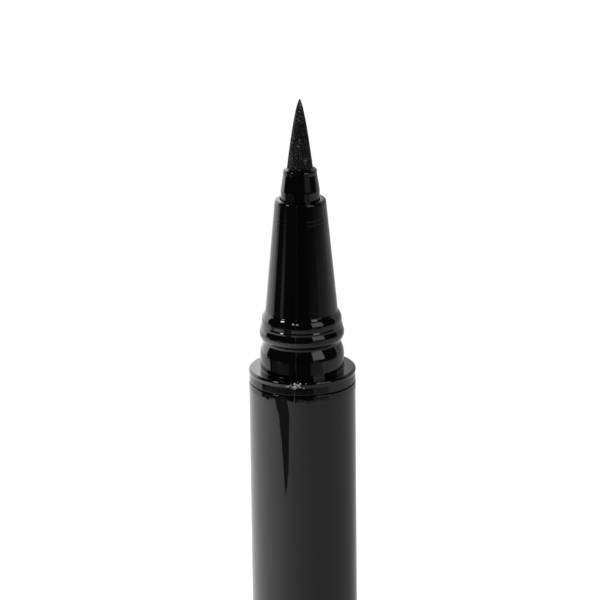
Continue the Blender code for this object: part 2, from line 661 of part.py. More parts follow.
def build():
    """Make every piece and seat it on the body that it moves with."""
    clear_scene()
    cap = axis_empty("cap_axis", 0)
    plunger = axis_empty("inner_cap_axis", CAP_LENGTH - INNER_CAP_END_DEPTH)
    pen = axis_empty("pen_axis", TAIL_SEAT)
    ball = axis_empty("mixing_ball_axis", BALL_SEAT + SEAT_GAP + BALL_RADIUS)

    seat(cap_crown(), cap, 0)
    seat(cap_shell(), cap, CROWN_HEIGHT + SEAT_GAP)
    seat(inner_cap_spring(), cap, SPRING_SEAT)
    seat(inner_cap(), plunger, CAP_LENGTH - INNER_CAP_END_DEPTH)
    seat(mixing_ball(), ball, BALL_SEAT + SEAT_GAP + BALL_RADIUS)

    ring_rise = RING_GROOVE_FROM_END + RING_GROOVE_HEIGHT / 2
    seat(tail_plug(), pen, TAIL_SEAT)
    seat(sealing_ring("tail_ring"), pen, TAIL_SEAT + TAIL_FLANGE_HEIGHT + ring_rise)
    seat(barrel(), pen, BARREL_SEAT)
    seat(tank_plug(), pen, TANK_PLUG_SEAT)
    seat(ink_tank(), pen, TANK_SEAT)
    seat(partition_plug(), pen, SECTION_SEAT - PARTITION_FOOT_DROP)
    seat(collector(), pen, SECTION_SEAT - COMB_TOP_DROP)
    seat(feed_core(), pen, SECTION_SEAT - CORE_FOOT_DROP)
    seat(front_section(), pen, SECTION_SEAT)
    seat(sealing_ring("section_ring"), pen, SECTION_SEAT - ring_rise)
    seat(nib_holder(), pen, SHOULDER + HOLDER_FOOT)
    seat(brush_nib(), pen, SHOULDER + NIB_ROOT_FOOT)


build()
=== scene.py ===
"""The looks of an open liquid eyeliner pen that stands on its posted cap.

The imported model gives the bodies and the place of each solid. Every turned piece is made again
here with fine roundings, the nib gets its bonded fibres, and each piece gets the finish of its
real material. Sizes in the classes are in millimetres, and meshes are made in metres.
"""

import logging
import math
from dataclasses import dataclass, field
from enum import Enum
from typing import Any, Callable, NamedTuple, Sequence

import bpy
import numpy as np
from mathutils import Matrix, Vector


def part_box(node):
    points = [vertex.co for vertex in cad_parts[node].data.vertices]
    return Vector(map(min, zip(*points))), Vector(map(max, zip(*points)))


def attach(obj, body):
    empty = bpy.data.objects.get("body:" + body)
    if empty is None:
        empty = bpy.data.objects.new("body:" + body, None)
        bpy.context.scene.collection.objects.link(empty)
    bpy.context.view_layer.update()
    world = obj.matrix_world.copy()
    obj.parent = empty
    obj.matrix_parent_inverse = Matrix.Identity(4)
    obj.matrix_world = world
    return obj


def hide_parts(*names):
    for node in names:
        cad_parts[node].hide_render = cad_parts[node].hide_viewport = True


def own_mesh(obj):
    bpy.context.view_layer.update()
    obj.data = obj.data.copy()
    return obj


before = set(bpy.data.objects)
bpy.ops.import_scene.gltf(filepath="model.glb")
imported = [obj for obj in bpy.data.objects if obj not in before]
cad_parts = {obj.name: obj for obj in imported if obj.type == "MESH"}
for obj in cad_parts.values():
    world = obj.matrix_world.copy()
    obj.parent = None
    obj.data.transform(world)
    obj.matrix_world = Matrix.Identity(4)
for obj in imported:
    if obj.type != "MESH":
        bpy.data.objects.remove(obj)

log = logging.getLogger("eyeliner")

MM = 0.001
FULL_TURN = math.tau
ANY_ANGLE = 6.3

# Meshes: arcs, the points beside and along long runs in millimetres, and sharp edges
ARC_STEP = math.radians(7.0)
ARC_SHARE = 0.98
SUPPORT = 0.012
SHORT_RUN = 6 * SUPPORT
LONGEST_RUN = 0.9
TUBE_RUN = 2.0
INNER_RUN = 3.0
SHARP_ANGLE = math.radians(28.0)
EVEN_SHARE = 0.3
RIDGE_REACH = 1.5

# Roundings of moulded and cut edges, in millimetres
CRISP = 0.03
EDGE = 0.05
EASED = 0.08
SOFT = 0.1
TUBE_EDGE = 0.07
MOUTH_EDGE = 0.12

# What several pieces share, in millimetres and radians
OUTER_RADIUS = 5.40
SEAM_TURN = math.radians(-90.0) - math.radians(8.7)
COLUMNS = 176
FEWER_COLUMNS = 144
INNER_COLUMNS = 96
BOSS_RADIUS = 2.10
BOSS_HEIGHT = 1.60
SPIGOT_RADIUS = 4.55
SPIGOT_LEAD = 0.3
RING_FROM_END = 3.0
RING_GROOVE = 0.8
RING_BITE = 0.5

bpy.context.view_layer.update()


class Body(Enum):
    """The bodies that pieces ride on."""

    CAP = "cap"
    INNER_CAP = "inner_cap"
    PEN = "pen"
    BALL = "mixing_ball"


class Slot(Enum):
    """The material slots of the record."""

    GLOSS_BLACK = "gloss_black"
    BRUSH_FIBRE = "brush_fibre"
    FEED_FIBRE = "feed_fibre"
    NATURAL_PLASTIC = "natural_plastic"
    TANK_PLASTIC = "tank_plastic"
    BLACK_RUBBER = "black_rubber"
    BRIGHT_STEEL = "bright_steel"


class Corner(NamedTuple):
    """One corner of a half outline in millimetres: radius, height and rounding."""

    radius: float
    height: float
    round: float = 0.0


# Node graphs


class Value:
    """A node's output that takes part in Python arithmetic."""

    def __init__(self, graph: "Graph", socket: bpy.types.NodeSocket) -> None:
        """Wrap one output socket of a graph."""
        self.graph = graph
        self.socket = socket

    def maths(self, operation: str, first: Any, second: Any = 0.0) -> "Value":
        """Return the result of one Math node, of one or two numbers or values."""
        return self.graph.add("ShaderNodeMath", {0: first, 1: second}, operation=operation)

    @staticmethod
    def joining(operation: str, reflected: bool = False) -> Callable[["Value", Any], "Value"]:
        """Return a method that joins a value and another by one Math node.

        Args:
            operation: The Math node's operation.
            reflected: Whether the other comes first.

        Returns:
            The method.
        """
        def joined(self: "Value", other: Any) -> "Value":
            """Return the two, joined."""
            first, second = (other, self) if reflected else (self, other)
            return self.maths(operation, first, second)

        return joined

    __add__ = joining("ADD")
    __radd__ = joining("ADD", reflected=True)
    __sub__ = joining("SUBTRACT")
    __rsub__ = joining("SUBTRACT", reflected=True)
    __mul__ = joining("MULTIPLY")
    __rmul__ = joining("MULTIPLY", reflected=True)
    __truediv__ = joining("DIVIDE")
    __pow__ = joining("POWER")
    highest = joining("MAXIMUM")
    angle_to = joining("ARCTAN2")

    def cosine(self) -> "Value":
        """Return the cosine of an angle in radians."""
        return self.maths("COSINE", self)

    def sine(self) -> "Value":
        """Return the sine of an angle in radians."""
        return self.maths("SINE", self)

    def arcsine(self) -> "Value":
        """Return the angle whose sine this is."""
        return self.maths("ARCSINE", self)

    def step(self, start: float, end: float) -> "Value":
        """Return a smooth rise from 0 at start to 1 at end."""
        return self.graph.add("ShaderNodeMapRange", {
            "Value": self, "From Min": start, "From Max": end}, interpolation_type="SMOOTHSTEP")


class Graph:
    """A node tree that is written with expressions."""

    def __init__(self, tree: bpy.types.NodeTree) -> None:
        """Start with an empty tree."""
        self.tree = tree
        self.tree.nodes.clear()

    def add(self, kind: str, sockets: dict[int | str, Any] | None = None,
            output: int | str = 0, **settings: Any) -> Value:
        """Add a node.

        Args:
            kind: The node's type.
            sockets: Values or links of its inputs, by name or number.
            output: The output to return, by name or number.
            settings: Properties that are set first.

        Returns:
            The chosen output.
        """
        node = self.tree.nodes.new(kind)
        for name, setting in settings.items():
            setattr(node, name, setting)
        for key, given in (sockets or {}).items():
            self.feed(node.inputs[key], given)
        return Value(self, node.outputs[output]) if len(node.outputs) else Value(self, None)

    def feed(self, socket: bpy.types.NodeSocket, given: Any) -> None:
        """Feed a node's input.

        Args:
            socket: The input.
            given: A value to link to it, or the input's own number.
        """
        if isinstance(given, Value):
            self.tree.links.new(given.socket, socket)
        else:
            socket.default_value = given

    def xyz(self, vector: Value) -> tuple[Value, Value, Value]:
        """Take a vector apart.

        Args:
            vector: The vector.

        Returns:
            Its three parts.
        """
        node = self.tree.nodes.new("ShaderNodeSeparateXYZ")
        self.feed(node.inputs[0], vector)
        return tuple(Value(self, part) for part in node.outputs)

    def vector(self, x: Any, y: Any, z: Any) -> Value:
        """Return a vector made of three parts."""
        return self.add("ShaderNodeCombineXYZ", {0: x, 1: y, 2: z})

    def scaled(self, vector: Value, x: float, y: float, z: float) -> Value:
        """Return a vector multiplied part by part."""
        return self.add("ShaderNodeVectorMath", {0: vector, 1: (x, y, z)}, operation="MULTIPLY")

    def matt(self, level: float) -> Value:
        """Return the shader of a plain matt grey."""
        return self.add("ShaderNodeBsdfDiffuse", {"Color": grey(level)})

    def glow(self, strength: Value) -> Value:
        """Return the shader of a surface that gives white light."""
        return self.add("ShaderNodeEmission", {"Color": grey(1.0), "Strength": strength})

    def blend(self, share: Any, first: Any, second: Any) -> Value:
        """Blend two colours.

        Args:
            share: How much of the second one shows, from 0 to 1.
            first: The first colour.
            second: The second colour.

        Returns:
            The colour between them.
        """
        node = self.tree.nodes.new("ShaderNodeMix")
        node.data_type = "RGBA"
        for socket, given in zip((node.inputs[0], node.inputs[6], node.inputs[7]),
                                 (share, first, second)):
            self.feed(socket, given)
        return Value(self, node.outputs[2])


class Surface(Graph):
    """The node tree of a finish, written on the place on the pen in millimetres."""

    def __init__(self, tree: bpy.types.NodeTree) -> None:
        """Start with the place."""
        super().__init__(tree)
        self.place = self.scaled(self.add("ShaderNodeTexCoord", output="Object"), *[1 / MM] * 3)

    def noise(self, scale: float, detail: float = 2.0, rough: float = 0.5, along: float = 1.0,
              place: Value | None = None) -> Value:
        """Add soft noise between about 0.2 and 0.8.

        Args:
            scale: How fine it is.
            detail: How many finer waves it has.
            rough: How strong those are.
            along: The share of the height that counts, which draws it out along the pen.
            place: Where it is read, if not at the place on the pen.

        Returns:
            The noise.
        """
        place = place or self.place
        if along != 1.0:
            place = self.scaled(place, 1.0, 1.0, along)
        return self.add("ShaderNodeTexNoise", {
            "Vector": place, "Scale": scale, "Detail": detail, "Roughness": rough})

    def cells(self, scale: float) -> Value:
        """Return the distance to the nearest of many scattered points."""
        return self.add("ShaderNodeTexVoronoi", {"Vector": self.place, "Scale": scale})

    def principled(self, colour: Any, roughness: Any, height: Value, depth: float,
                   **fixed: Any) -> Value:
        """Add the Principled shader, with a bump.

        Args:
            colour: Base colour.
            roughness: Roughness.
            height: Surface height, from 0 to 1.
            depth: How deep a height of 1 is, in millimetres.
            fixed: Further sockets that are the same all over.

        Returns:
            The shader's output.
        """
        bump = self.add("ShaderNodeBump", {
            "Strength": 1.0, "Distance": depth * MM, "Height": height})
        sockets = {name.replace("_", " "): given for name, given in fixed.items()}
        return self.add("ShaderNodeBsdfPrincipled", {
            "Base Color": colour, "Roughness": roughness, "Normal": bump, **sockets})


# Finishes


def grey(level: float, warmth: float = 0.0) -> tuple[float, float, float, float]:
    """Return a grey, a little warmer in red where warmth is above 0."""
    return (level * (1 + warmth), level, level * (1 - warmth), 1.0)


def new_material(name: str, kind: type[Graph] = Graph) -> tuple[bpy.types.Material, Graph]:
    """Make a material.

    Args:
        name: Its name.
        kind: The class of its graph.

    Returns:
        The material and its graph.
    """
    made = bpy.data.materials.new(name)
    made.use_nodes = True
    return made, kind(made.node_tree)


@dataclass(frozen=True)
class Finish:
    """One real surface. Its graph is made from Object coordinates, in millimetres."""

    name: str
    slot: Slot

    def material(self) -> bpy.types.Material:
        """Return the material of this finish, made once."""
        made = bpy.data.materials.get(self.name)
        if made is None:
            made, on = new_material(self.name, Surface)
            on.add("ShaderNodeOutputMaterial", {"Surface": self.shader(on)})
        return made

    def shader(self, on: Surface) -> Value:
        """Return the surface shader; each finish has its own."""
        raise NotImplementedError


@dataclass(frozen=True)
class GlossPlastic(Finish):
    """Polished black moulding: a faint ripple, soft smudges and a few specks of dust."""

    level: float = 0.0008
    polish: float = 0.035
    smudge: float = 0.04
    ripple: float = 0.0010
    drawn: float = 0.0
    dust: float = 0.3
    dust_grey: float = 0.06

    def shader(self, on: Surface) -> Value:
        """Make the gloss plastic's shader.

        Args:
            on: The surface that it is made on.

        Returns:
            The shader.
        """
        cloud = on.noise(scale=0.35, detail=3.0)
        smear = on.noise(scale=1.3, detail=5.0, rough=0.6, along=0.25)
        dust = on.cells(0.9).step(0.045, 0.02) * self.dust
        lines = on.noise(scale=9.0, along=0.02)
        colour = on.blend(cloud, grey(self.level * 0.85), grey(self.level * 1.15, 0.02))
        colour = on.blend(dust, colour, grey(self.dust_grey))
        roughness = self.polish + smear.step(0.45, 0.75) * self.smudge + dust
        height = on.noise(scale=0.8) + lines * self.drawn
        return on.principled(colour, roughness, height, self.ripple)


@dataclass(frozen=True)
class BrokenPlastic(Finish):
    """Black plastic that turned pale and rough where it was torn."""

    level: float = 0.01
    pale: float = 0.98
    roughness: float = 0.10
    depth: float = 0.03

    def shader(self, on: Surface) -> Value:
        """Make the torn plastic's shader.

        Args:
            on: The surface that it is made on.

        Returns:
            The shader.
        """
        tear = on.noise(scale=5.5, detail=3.0, rough=0.7)
        colour = on.blend(tear.step(0.49, 0.53), grey(self.level), grey(self.pale))
        return on.principled(colour, self.roughness + tear * 0.2, tear, self.depth)


@dataclass(frozen=True)
class BrushFibre(Finish):
    """Bonded brush fibres soaked with ink: crossed grain, dry grey fibre ends, wetter and glossier
    at right, with more grey ends at left as painted light on the lit side.
    """

    level: float = 0.0028
    dry: float = 0.26
    grain: float = 0.07
    wet_right_painted_lit_left: float = 0.09
    roughness: float = 0.62
    wet_gloss: float = 0.22
    specular: float = 0.16

    def shader(self, on: Surface) -> Value:
        """Make the nib's shader.

        Args:
            on: The surface that it is made on.

        Returns:
            The shader.
        """
        warp = on.noise(scale=2.2)
        x, y, z = on.xyz(on.place)
        slant = on.vector(x + z * 0.35, y + z * 0.15, z * 0.62 + (x - y) * 0.25 + warp * 0.5)
        streaks = on.noise(scale=9.0, detail=3.0, rough=0.6, along=0.10)
        grain = on.noise(scale=9.0, detail=3.0, rough=0.75, place=slant)
        patch = on.noise(scale=0.75, detail=3.0)
        # Painted light: the x term makes the grey fibre ends commoner on the left, lit side, and
        # rarer on the right.
        wet_and_painted_right_shade = (patch + x * self.wet_right_painted_lit_left).step(0.44, 0.60)
        ends = grain.step(0.56, 0.61) * (1 - wet_and_painted_right_shade * 0.8)
        colour = on.blend(streaks.step(0.40, 0.66), grey(self.level * 0.6), grey(self.level * 1.6))
        colour = on.blend(ends * 0.8, colour, grey(self.dry, 0.02))
        return on.principled(colour, self.roughness - wet_and_painted_right_shade * self.wet_gloss,
                             streaks * 0.3 + grain, self.grain, Specular_IOR_Level=self.specular)


@dataclass(frozen=True)
class FeedFibre(Finish):
    """The feed's fibre rod: long fibres stained with ink in patches drawn out along it."""

    level: float = 0.08
    roughness: float = 0.86
    depth: float = 0.04

    def shader(self, on: Surface) -> Value:
        """Make the feed rod's shader.

        Args:
            on: The surface that it is made on.

        Returns:
            The shader.
        """
        fibres = on.noise(scale=14.0, detail=3.0, rough=0.6, along=0.05)
        stain = on.noise(scale=0.9, detail=3.0, along=0.3)
        colour = on.blend(stain.step(0.35, 0.65), grey(self.level * 0.5), grey(self.level * 1.5))
        colour = on.blend(fibres.step(0.55, 0.75) * 0.5, colour, grey(self.level * 2.4, 0.03))
        return on.principled(colour, self.roughness - stain * 0.12, fibres, self.depth)


@dataclass(frozen=True)
class PlainPlastic(Finish):
    """A satin moulding with mottling, flow marks and fine pits."""

    colour: tuple[float, float, float, float] = (0.78, 0.78, 0.76, 1.0)
    shade: tuple[float, float, float, float] = (0.70, 0.70, 0.67, 1.0)
    polish: float = 0.34
    scatter: float = 0.0
    scatter_reach: float = 0.8
    depth: float = 0.006

    def shader(self, on: Surface) -> Value:
        """Make the plastic's shader.

        Args:
            on: The surface that it is made on.

        Returns:
            The shader.
        """
        mottle = on.noise(scale=0.5, detail=4.0, rough=0.6)
        flow = on.noise(scale=1.8, detail=3.0, along=0.2)
        pits = on.noise(scale=16.0)
        colour = on.blend(mottle.step(0.3, 0.7), self.colour, self.shade)
        roughness = self.polish + flow * 0.12 + pits * 0.05
        return on.principled(colour, roughness, flow * 0.4 + pits * 0.3, self.depth,
                             Subsurface_Weight=self.scatter,
                             Subsurface_Scale=self.scatter_reach * MM)


@dataclass(frozen=True)
class BlackRubber(Finish):
    """Matt rubber with a dusty bloom and a moulded grain."""

    level: float = 0.02
    roughness: float = 0.62
    depth: float = 0.008

    def shader(self, on: Surface) -> Value:
        """Make the rubber's shader.

        Args:
            on: The surface that it is made on.

        Returns:
            The shader.
        """
        bloom = on.noise(scale=1.4, detail=4.0, rough=0.6)
        grain = on.noise(scale=22.0)
        colour = on.blend(bloom.step(0.45, 0.8), grey(self.level), grey(self.level * 2.6))
        return on.principled(colour, self.roughness + bloom * 0.18, grain, self.depth)


@dataclass(frozen=True)
class BrightSteel(Finish):
    """Drawn or ground stainless steel with fine lines and a little staining."""

    level: float = 0.62
    roughness: float = 0.14
    depth: float = 0.002

    def shader(self, on: Surface) -> Value:
        """Make the steel's shader.

        Args:
            on: The surface that it is made on.

        Returns:
            The shader.
        """
        lines = on.noise(scale=3.0, detail=4.0, rough=0.6,
                         place=on.scaled(on.place, 6.0, 6.0, 1.0))
        stain = on.noise(scale=0.9, detail=3.0)
        colour = on.blend(stain.step(0.4, 0.8), grey(self.level), grey(self.level * 0.82, 0.03))
        roughness = self.roughness + lines * 0.14 + stain * 0.05
        return on.principled(colour, roughness, lines, self.depth, Metallic=1.0)


TUBE_BLACK = GlossPlastic("barrel_gloss_black", Slot.GLOSS_BLACK, polish=0.012, smudge=0.015,
                          drawn=0.35)
MOULDED_BLACK = GlossPlastic("moulded_gloss_black", Slot.GLOSS_BLACK, polish=0.04, smudge=0.02)
SCAR_GREY = BrokenPlastic("broken_gate_plastic", Slot.GLOSS_BLACK)
BRUSH_BLACK = BrushFibre("brush_fibre_black", Slot.BRUSH_FIBRE)
FEED_GREY = FeedFibre("feed_fibre_grey", Slot.FEED_FIBRE)
NATURAL_WHITE = PlainPlastic("natural_white_plastic", Slot.NATURAL_PLASTIC)
TANK_MILKY = PlainPlastic("milky_tank_plastic", Slot.TANK_PLASTIC, (0.70, 0.71, 0.70, 1.0),
                          (0.62, 0.64, 0.63, 1.0), polish=0.24, scatter=0.2)
RUBBER = BlackRubber("black_ring_rubber", Slot.BLACK_RUBBER)
STEEL = BrightSteel("bright_stainless_steel", Slot.BRIGHT_STEEL)


# Turned meshes


def rounded(corners: Sequence[Corner], closed: bool) -> np.ndarray:
    """Turn corners into outline points with fine arcs.

    Args:
        corners: The outline's corners, in millimetres.
        closed: Whether the last corner joins the first.

    Returns:
        One row of radius and height for each point.
    """
    count = len(corners)
    spots = [np.array(corner[:2]) for corner in corners]
    bends = [closed or 0 < index < count - 1 for index in range(count)]
    reach = [0.0] * count
    for index, corner in enumerate(corners):
        if corner.round > 0 and bends[index]:
            back = spots[index - 1] - spots[index]
            ahead = spots[(index + 1) % count] - spots[index]
            reach[index] = corner.round / math.tan(half_angle(back, ahead))
    share = [1.0] * count
    for index in range(count if closed else count - 1):
        after = (index + 1) % count
        run = ARC_SHARE * float(np.linalg.norm(spots[after] - spots[index]))
        if reach[index] + reach[after] > run:
            part = run / (reach[index] + reach[after])
            share[index], share[after] = min(share[index], part), min(share[after], part)
    points: list[tuple[float, float]] = []
    for index, corner in enumerate(corners):
        if reach[index] > 0:
            points.extend(corner_arc(spots[index - 1], spots[index], spots[(index + 1) % count],
                                     reach[index] * share[index]))
        else:
            points.append((corner.radius, corner.height))
    return np.array(points)


def half_angle(back: np.ndarray, ahead: np.ndarray) -> float:
    """Return half the angle between two directions that leave a corner."""
    cosine = back @ ahead / (np.linalg.norm(back) * np.linalg.norm(ahead))
    return math.acos(float(np.clip(cosine, -1.0, 1.0))) / 2


def corner_arc(before: np.ndarray, here: np.ndarray, after: np.ndarray,
               reach: float) -> list[tuple[float, float]]:
    """Return the points of the arc that rounds one corner.

    Args:
        before: The corner before it.
        here: The corner to round.
        after: The corner after it.
        reach: How far from the corner the arc starts and ends.

    Returns:
        Pairs of radius and height.
    """
    back, ahead = before - here, after - here
    half = half_angle(back, ahead)
    back, ahead = back / np.linalg.norm(back), ahead / np.linalg.norm(ahead)
    arc = reach * math.tan(half)
    middle = back + ahead
    centre = here + middle / np.linalg.norm(middle) * arc / math.sin(half)
    start, end = here + back * reach - centre, here + ahead * reach - centre
    first = math.atan2(start[1], start[0])
    sweep = (math.atan2(end[1], end[0]) - first + math.pi) % FULL_TURN - math.pi
    steps = max(2, math.ceil(abs(sweep) / ARC_STEP))
    turns = first + sweep * np.arange(steps + 1) / steps
    return [(centre[0] + arc * math.cos(turn), centre[1] + arc * math.sin(turn)) for turn in turns]


def supported(points: np.ndarray, closed: bool, run: float) -> np.ndarray:
    """Add points near the ends of long runs, so that shading stays true, and along them.

    Args:
        points: Outline points in millimetres.
        closed: Whether the last point joins the first.
        run: The longest run left without a point.

    Returns:
        The outline with its further points.
    """
    out: list[np.ndarray] = []
    count = len(points)
    for index in range(count if closed else count - 1):
        start, end = points[index], points[(index + 1) % count]
        length = float(np.linalg.norm(end - start))
        out.append(start)
        if length > SHORT_RUN:
            shares = np.linspace(0, 1, max(2, math.ceil(length / run) + 1))[1:-1]
            shares = np.concatenate([[SUPPORT / length], shares, [1 - SUPPORT / length]])
            out.extend(start + (end - start) * share for share in shares)
    if not closed:
        out.append(points[-1])
    return np.array(out)


def outline_of(corners: Sequence[Corner], run: float = LONGEST_RUN) -> np.ndarray:
    """Make an outline that is rounded and supported.

    Args:
        corners: Its corners. It is a ring, unless the first is on the axis.
        run: The longest run left without a point.

    Returns:
        One row of radius and height for each point, in millimetres.
    """
    ring = corners[0].radius > 0
    return supported(rounded(corners, ring), ring, run)


def even_turns(count: int) -> np.ndarray:
    """Return evenly spaced angles round the axis."""
    return FULL_TURN * np.arange(count) / count


def crowded_turns(near: np.ndarray) -> np.ndarray:
    """Crowd the columns of a turned mesh round a ridge.

    Args:
        near: The angles close to the ridge.

    Returns:
        Evenly spaced angles, with the given ones in place of those beside them.
    """
    even = even_turns(COLUMNS)
    apart = np.abs((even[:, None] - near[None, :] + math.pi) % FULL_TURN - math.pi).min(1)
    kept = even[apart > EVEN_SHARE * FULL_TURN / COLUMNS]
    return np.sort(np.concatenate([kept, near % FULL_TURN]))


def ridge_turns(middle: float, width: float, radius: float, count: int) -> np.ndarray:
    """Return a number of angles close together round a ridge, for its width at a radius."""
    return middle + width / radius * np.linspace(-RIDGE_REACH, RIDGE_REACH, count)


def crest(off: np.ndarray, width: float) -> np.ndarray:
    """Return a ridge's profile: 1 on its line and 0 from a width away."""
    return 0.5 + 0.5 * np.cos(math.pi * np.clip(np.abs(off) / width, 0, 1))


def turned_mesh(name: str, outline: np.ndarray, turns: np.ndarray, seat: float,
                swell: Callable[[np.ndarray, np.ndarray, np.ndarray], np.ndarray] | None = None,
                slit: bool = False) -> bpy.types.Object:
    """Turn an outline about the axis.

    Args:
        name: The piece's name.
        outline: Radius and height of each point, in millimetres. One that starts and ends on
            the axis is solid, and any other is a ring.
        turns: The angles of its columns.
        seat: The height of the outline's zero above the floor, in millimetres.
        swell: Gives how far each point stands out, from its radius, height and angle.
        slit: Whether the gap from the last angle to the first stays open, with its faces closed.

    Returns:
        The new object, with its place in its mesh.
    """
    solid = outline[0, 0] == 0 and outline[-1, 0] == 0
    rows = outline[1:-1] if solid else outline
    radius, height = (np.repeat(part, len(turns), 1) for part in (rows[:, :1], rows[:, 1:]))
    angle = np.broadcast_to(turns, radius.shape)
    if swell is not None:
        radius = radius + swell(radius, height, angle)
    grid = np.stack([radius * np.cos(angle), radius * np.sin(angle), height + seat], -1)
    verts = grid.reshape(-1, 3)
    if solid:
        ends = [[0, 0, outline[row, 1] + seat] for row in (0, -1)]
        verts = np.concatenate([verts, np.array(ends)])
    mesh = bpy.data.meshes.new(name)
    mesh.from_pydata((verts * MM).tolist(), [], turned_faces(*radius.shape, solid, slit))
    return finished(name, mesh)


def turned_faces(rows: int, columns: int, solid: bool, slit: bool) -> list[tuple[int, ...]]:
    """Return the faces of a turned mesh, whose vertices go row by row.

    Args:
        rows: The number of its rows.
        columns: The number of its columns.
        solid: Whether two more vertices on the axis close its ends.
        slit: Whether the gap from the last column to the first stays open.

    Returns:
        The vertices of each face.
    """
    across = range(columns - 1) if slit else range(columns)
    faces: list[tuple[int, ...]] = []
    for row in range(rows - 1) if solid else range(rows):
        here, below = row * columns, (row + 1) % rows * columns
        faces.extend((here + column, below + column, below + (column + 1) % columns,
                      here + (column + 1) % columns) for column in across)
    if slit:
        faces.append(tuple(row * columns for row in range(rows)))
        faces.append(tuple(row * columns + columns - 1 for row in reversed(range(rows))))
    if solid:
        top, under = rows * columns, (rows - 1) * columns
        faces.extend((top, column, (column + 1) % columns) for column in across)
        faces.extend((top + 1, under + (column + 1) % columns, under + column)
                     for column in across)
    return faces


def placed(name: str, data: bpy.types.ID) -> bpy.types.Object:
    """Put a mesh, a lamp or a camera into the scene.

    Args:
        name: The new object's name.
        data: What it shows.

    Returns:
        The object.
    """
    made = bpy.data.objects.new(name, data)
    bpy.context.scene.collection.objects.link(made)
    return made


def finished(name: str, mesh: bpy.types.Mesh) -> bpy.types.Object:
    """Shade a mesh smooth between its sharp edges.

    Args:
        name: The new object's name.
        mesh: The mesh.

    Returns:
        The object in the scene.
    """
    mesh.validate()
    mesh.shade_smooth()
    mesh.set_sharp_from_angle(angle=SHARP_ANGLE)
    return placed(name, mesh)


def dress(piece: bpy.types.Object, body: Body, finish: Finish, *nodes: str) -> bpy.types.Object:
    """Give a piece its finish, its body and the solids that it stands for.

    Args:
        piece: The finished piece.
        body: The body that it rides on.
        finish: Its finish.
        nodes: The solids that it replaces.

    Returns:
        The same piece.
    """
    piece.data.materials.clear()
    piece.data.materials.append(finish.material())
    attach(piece, body.value)
    if nodes:
        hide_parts(*nodes)
    log.info("%s: %d faces on %s", piece.name, len(piece.data.polygons), body.value)
    return piece


def foot_of(node: str) -> float:
    """Return the height of a solid's foot, in millimetres."""
    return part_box(node)[0].z / MM


def top_of(node: str) -> float:
    """Return the height of a solid's top, in millimetres."""
    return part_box(node)[1].z / MM


def span_of(node: str) -> tuple[float, float]:
    """Return the height of a solid's foot and the solid's length, in millimetres."""
    return foot_of(node), top_of(node) - foot_of(node)


def middle_of(node: str) -> float:
    """Return the height of a solid's middle, in millimetres."""
    return (foot_of(node) + top_of(node)) / 2


def ring_groove(top: float) -> list[Corner]:
    """Lay out a spigot's groove for a rubber ring.

    Args:
        top: The height of its upper wall.

    Returns:
        Its corners from the top down.
    """
    floor, foot = SPIGOT_RADIUS - RING_BITE, top - RING_GROOVE
    return [Corner(SPIGOT_RADIUS, top, EDGE), Corner(floor, top, EDGE),
            Corner(floor, foot, EDGE), Corner(SPIGOT_RADIUS, foot, EDGE)]


def turn_piece(name: str, corners: Sequence[Corner], seat: float, body: Body, finish: Finish,
               *nodes: str, columns: int = COLUMNS, run: float = LONGEST_RUN) -> None:
    """Turn rounded corners about the axis and dress the piece.

    Args:
        name: The piece's name.
        corners: Its corners. Where the first is on the axis, the piece is solid.
        seat: The height of the corners' zero above the floor, in millimetres.
        body: The body that it rides on.
        finish: Its finish.
        nodes: The solids that it replaces.
        columns: The number of its columns.
        run: The longest run left without a point.
    """
    piece = turned_mesh(name, outline_of(corners, run), even_turns(columns), seat)
    dress(piece, body, finish, *nodes)


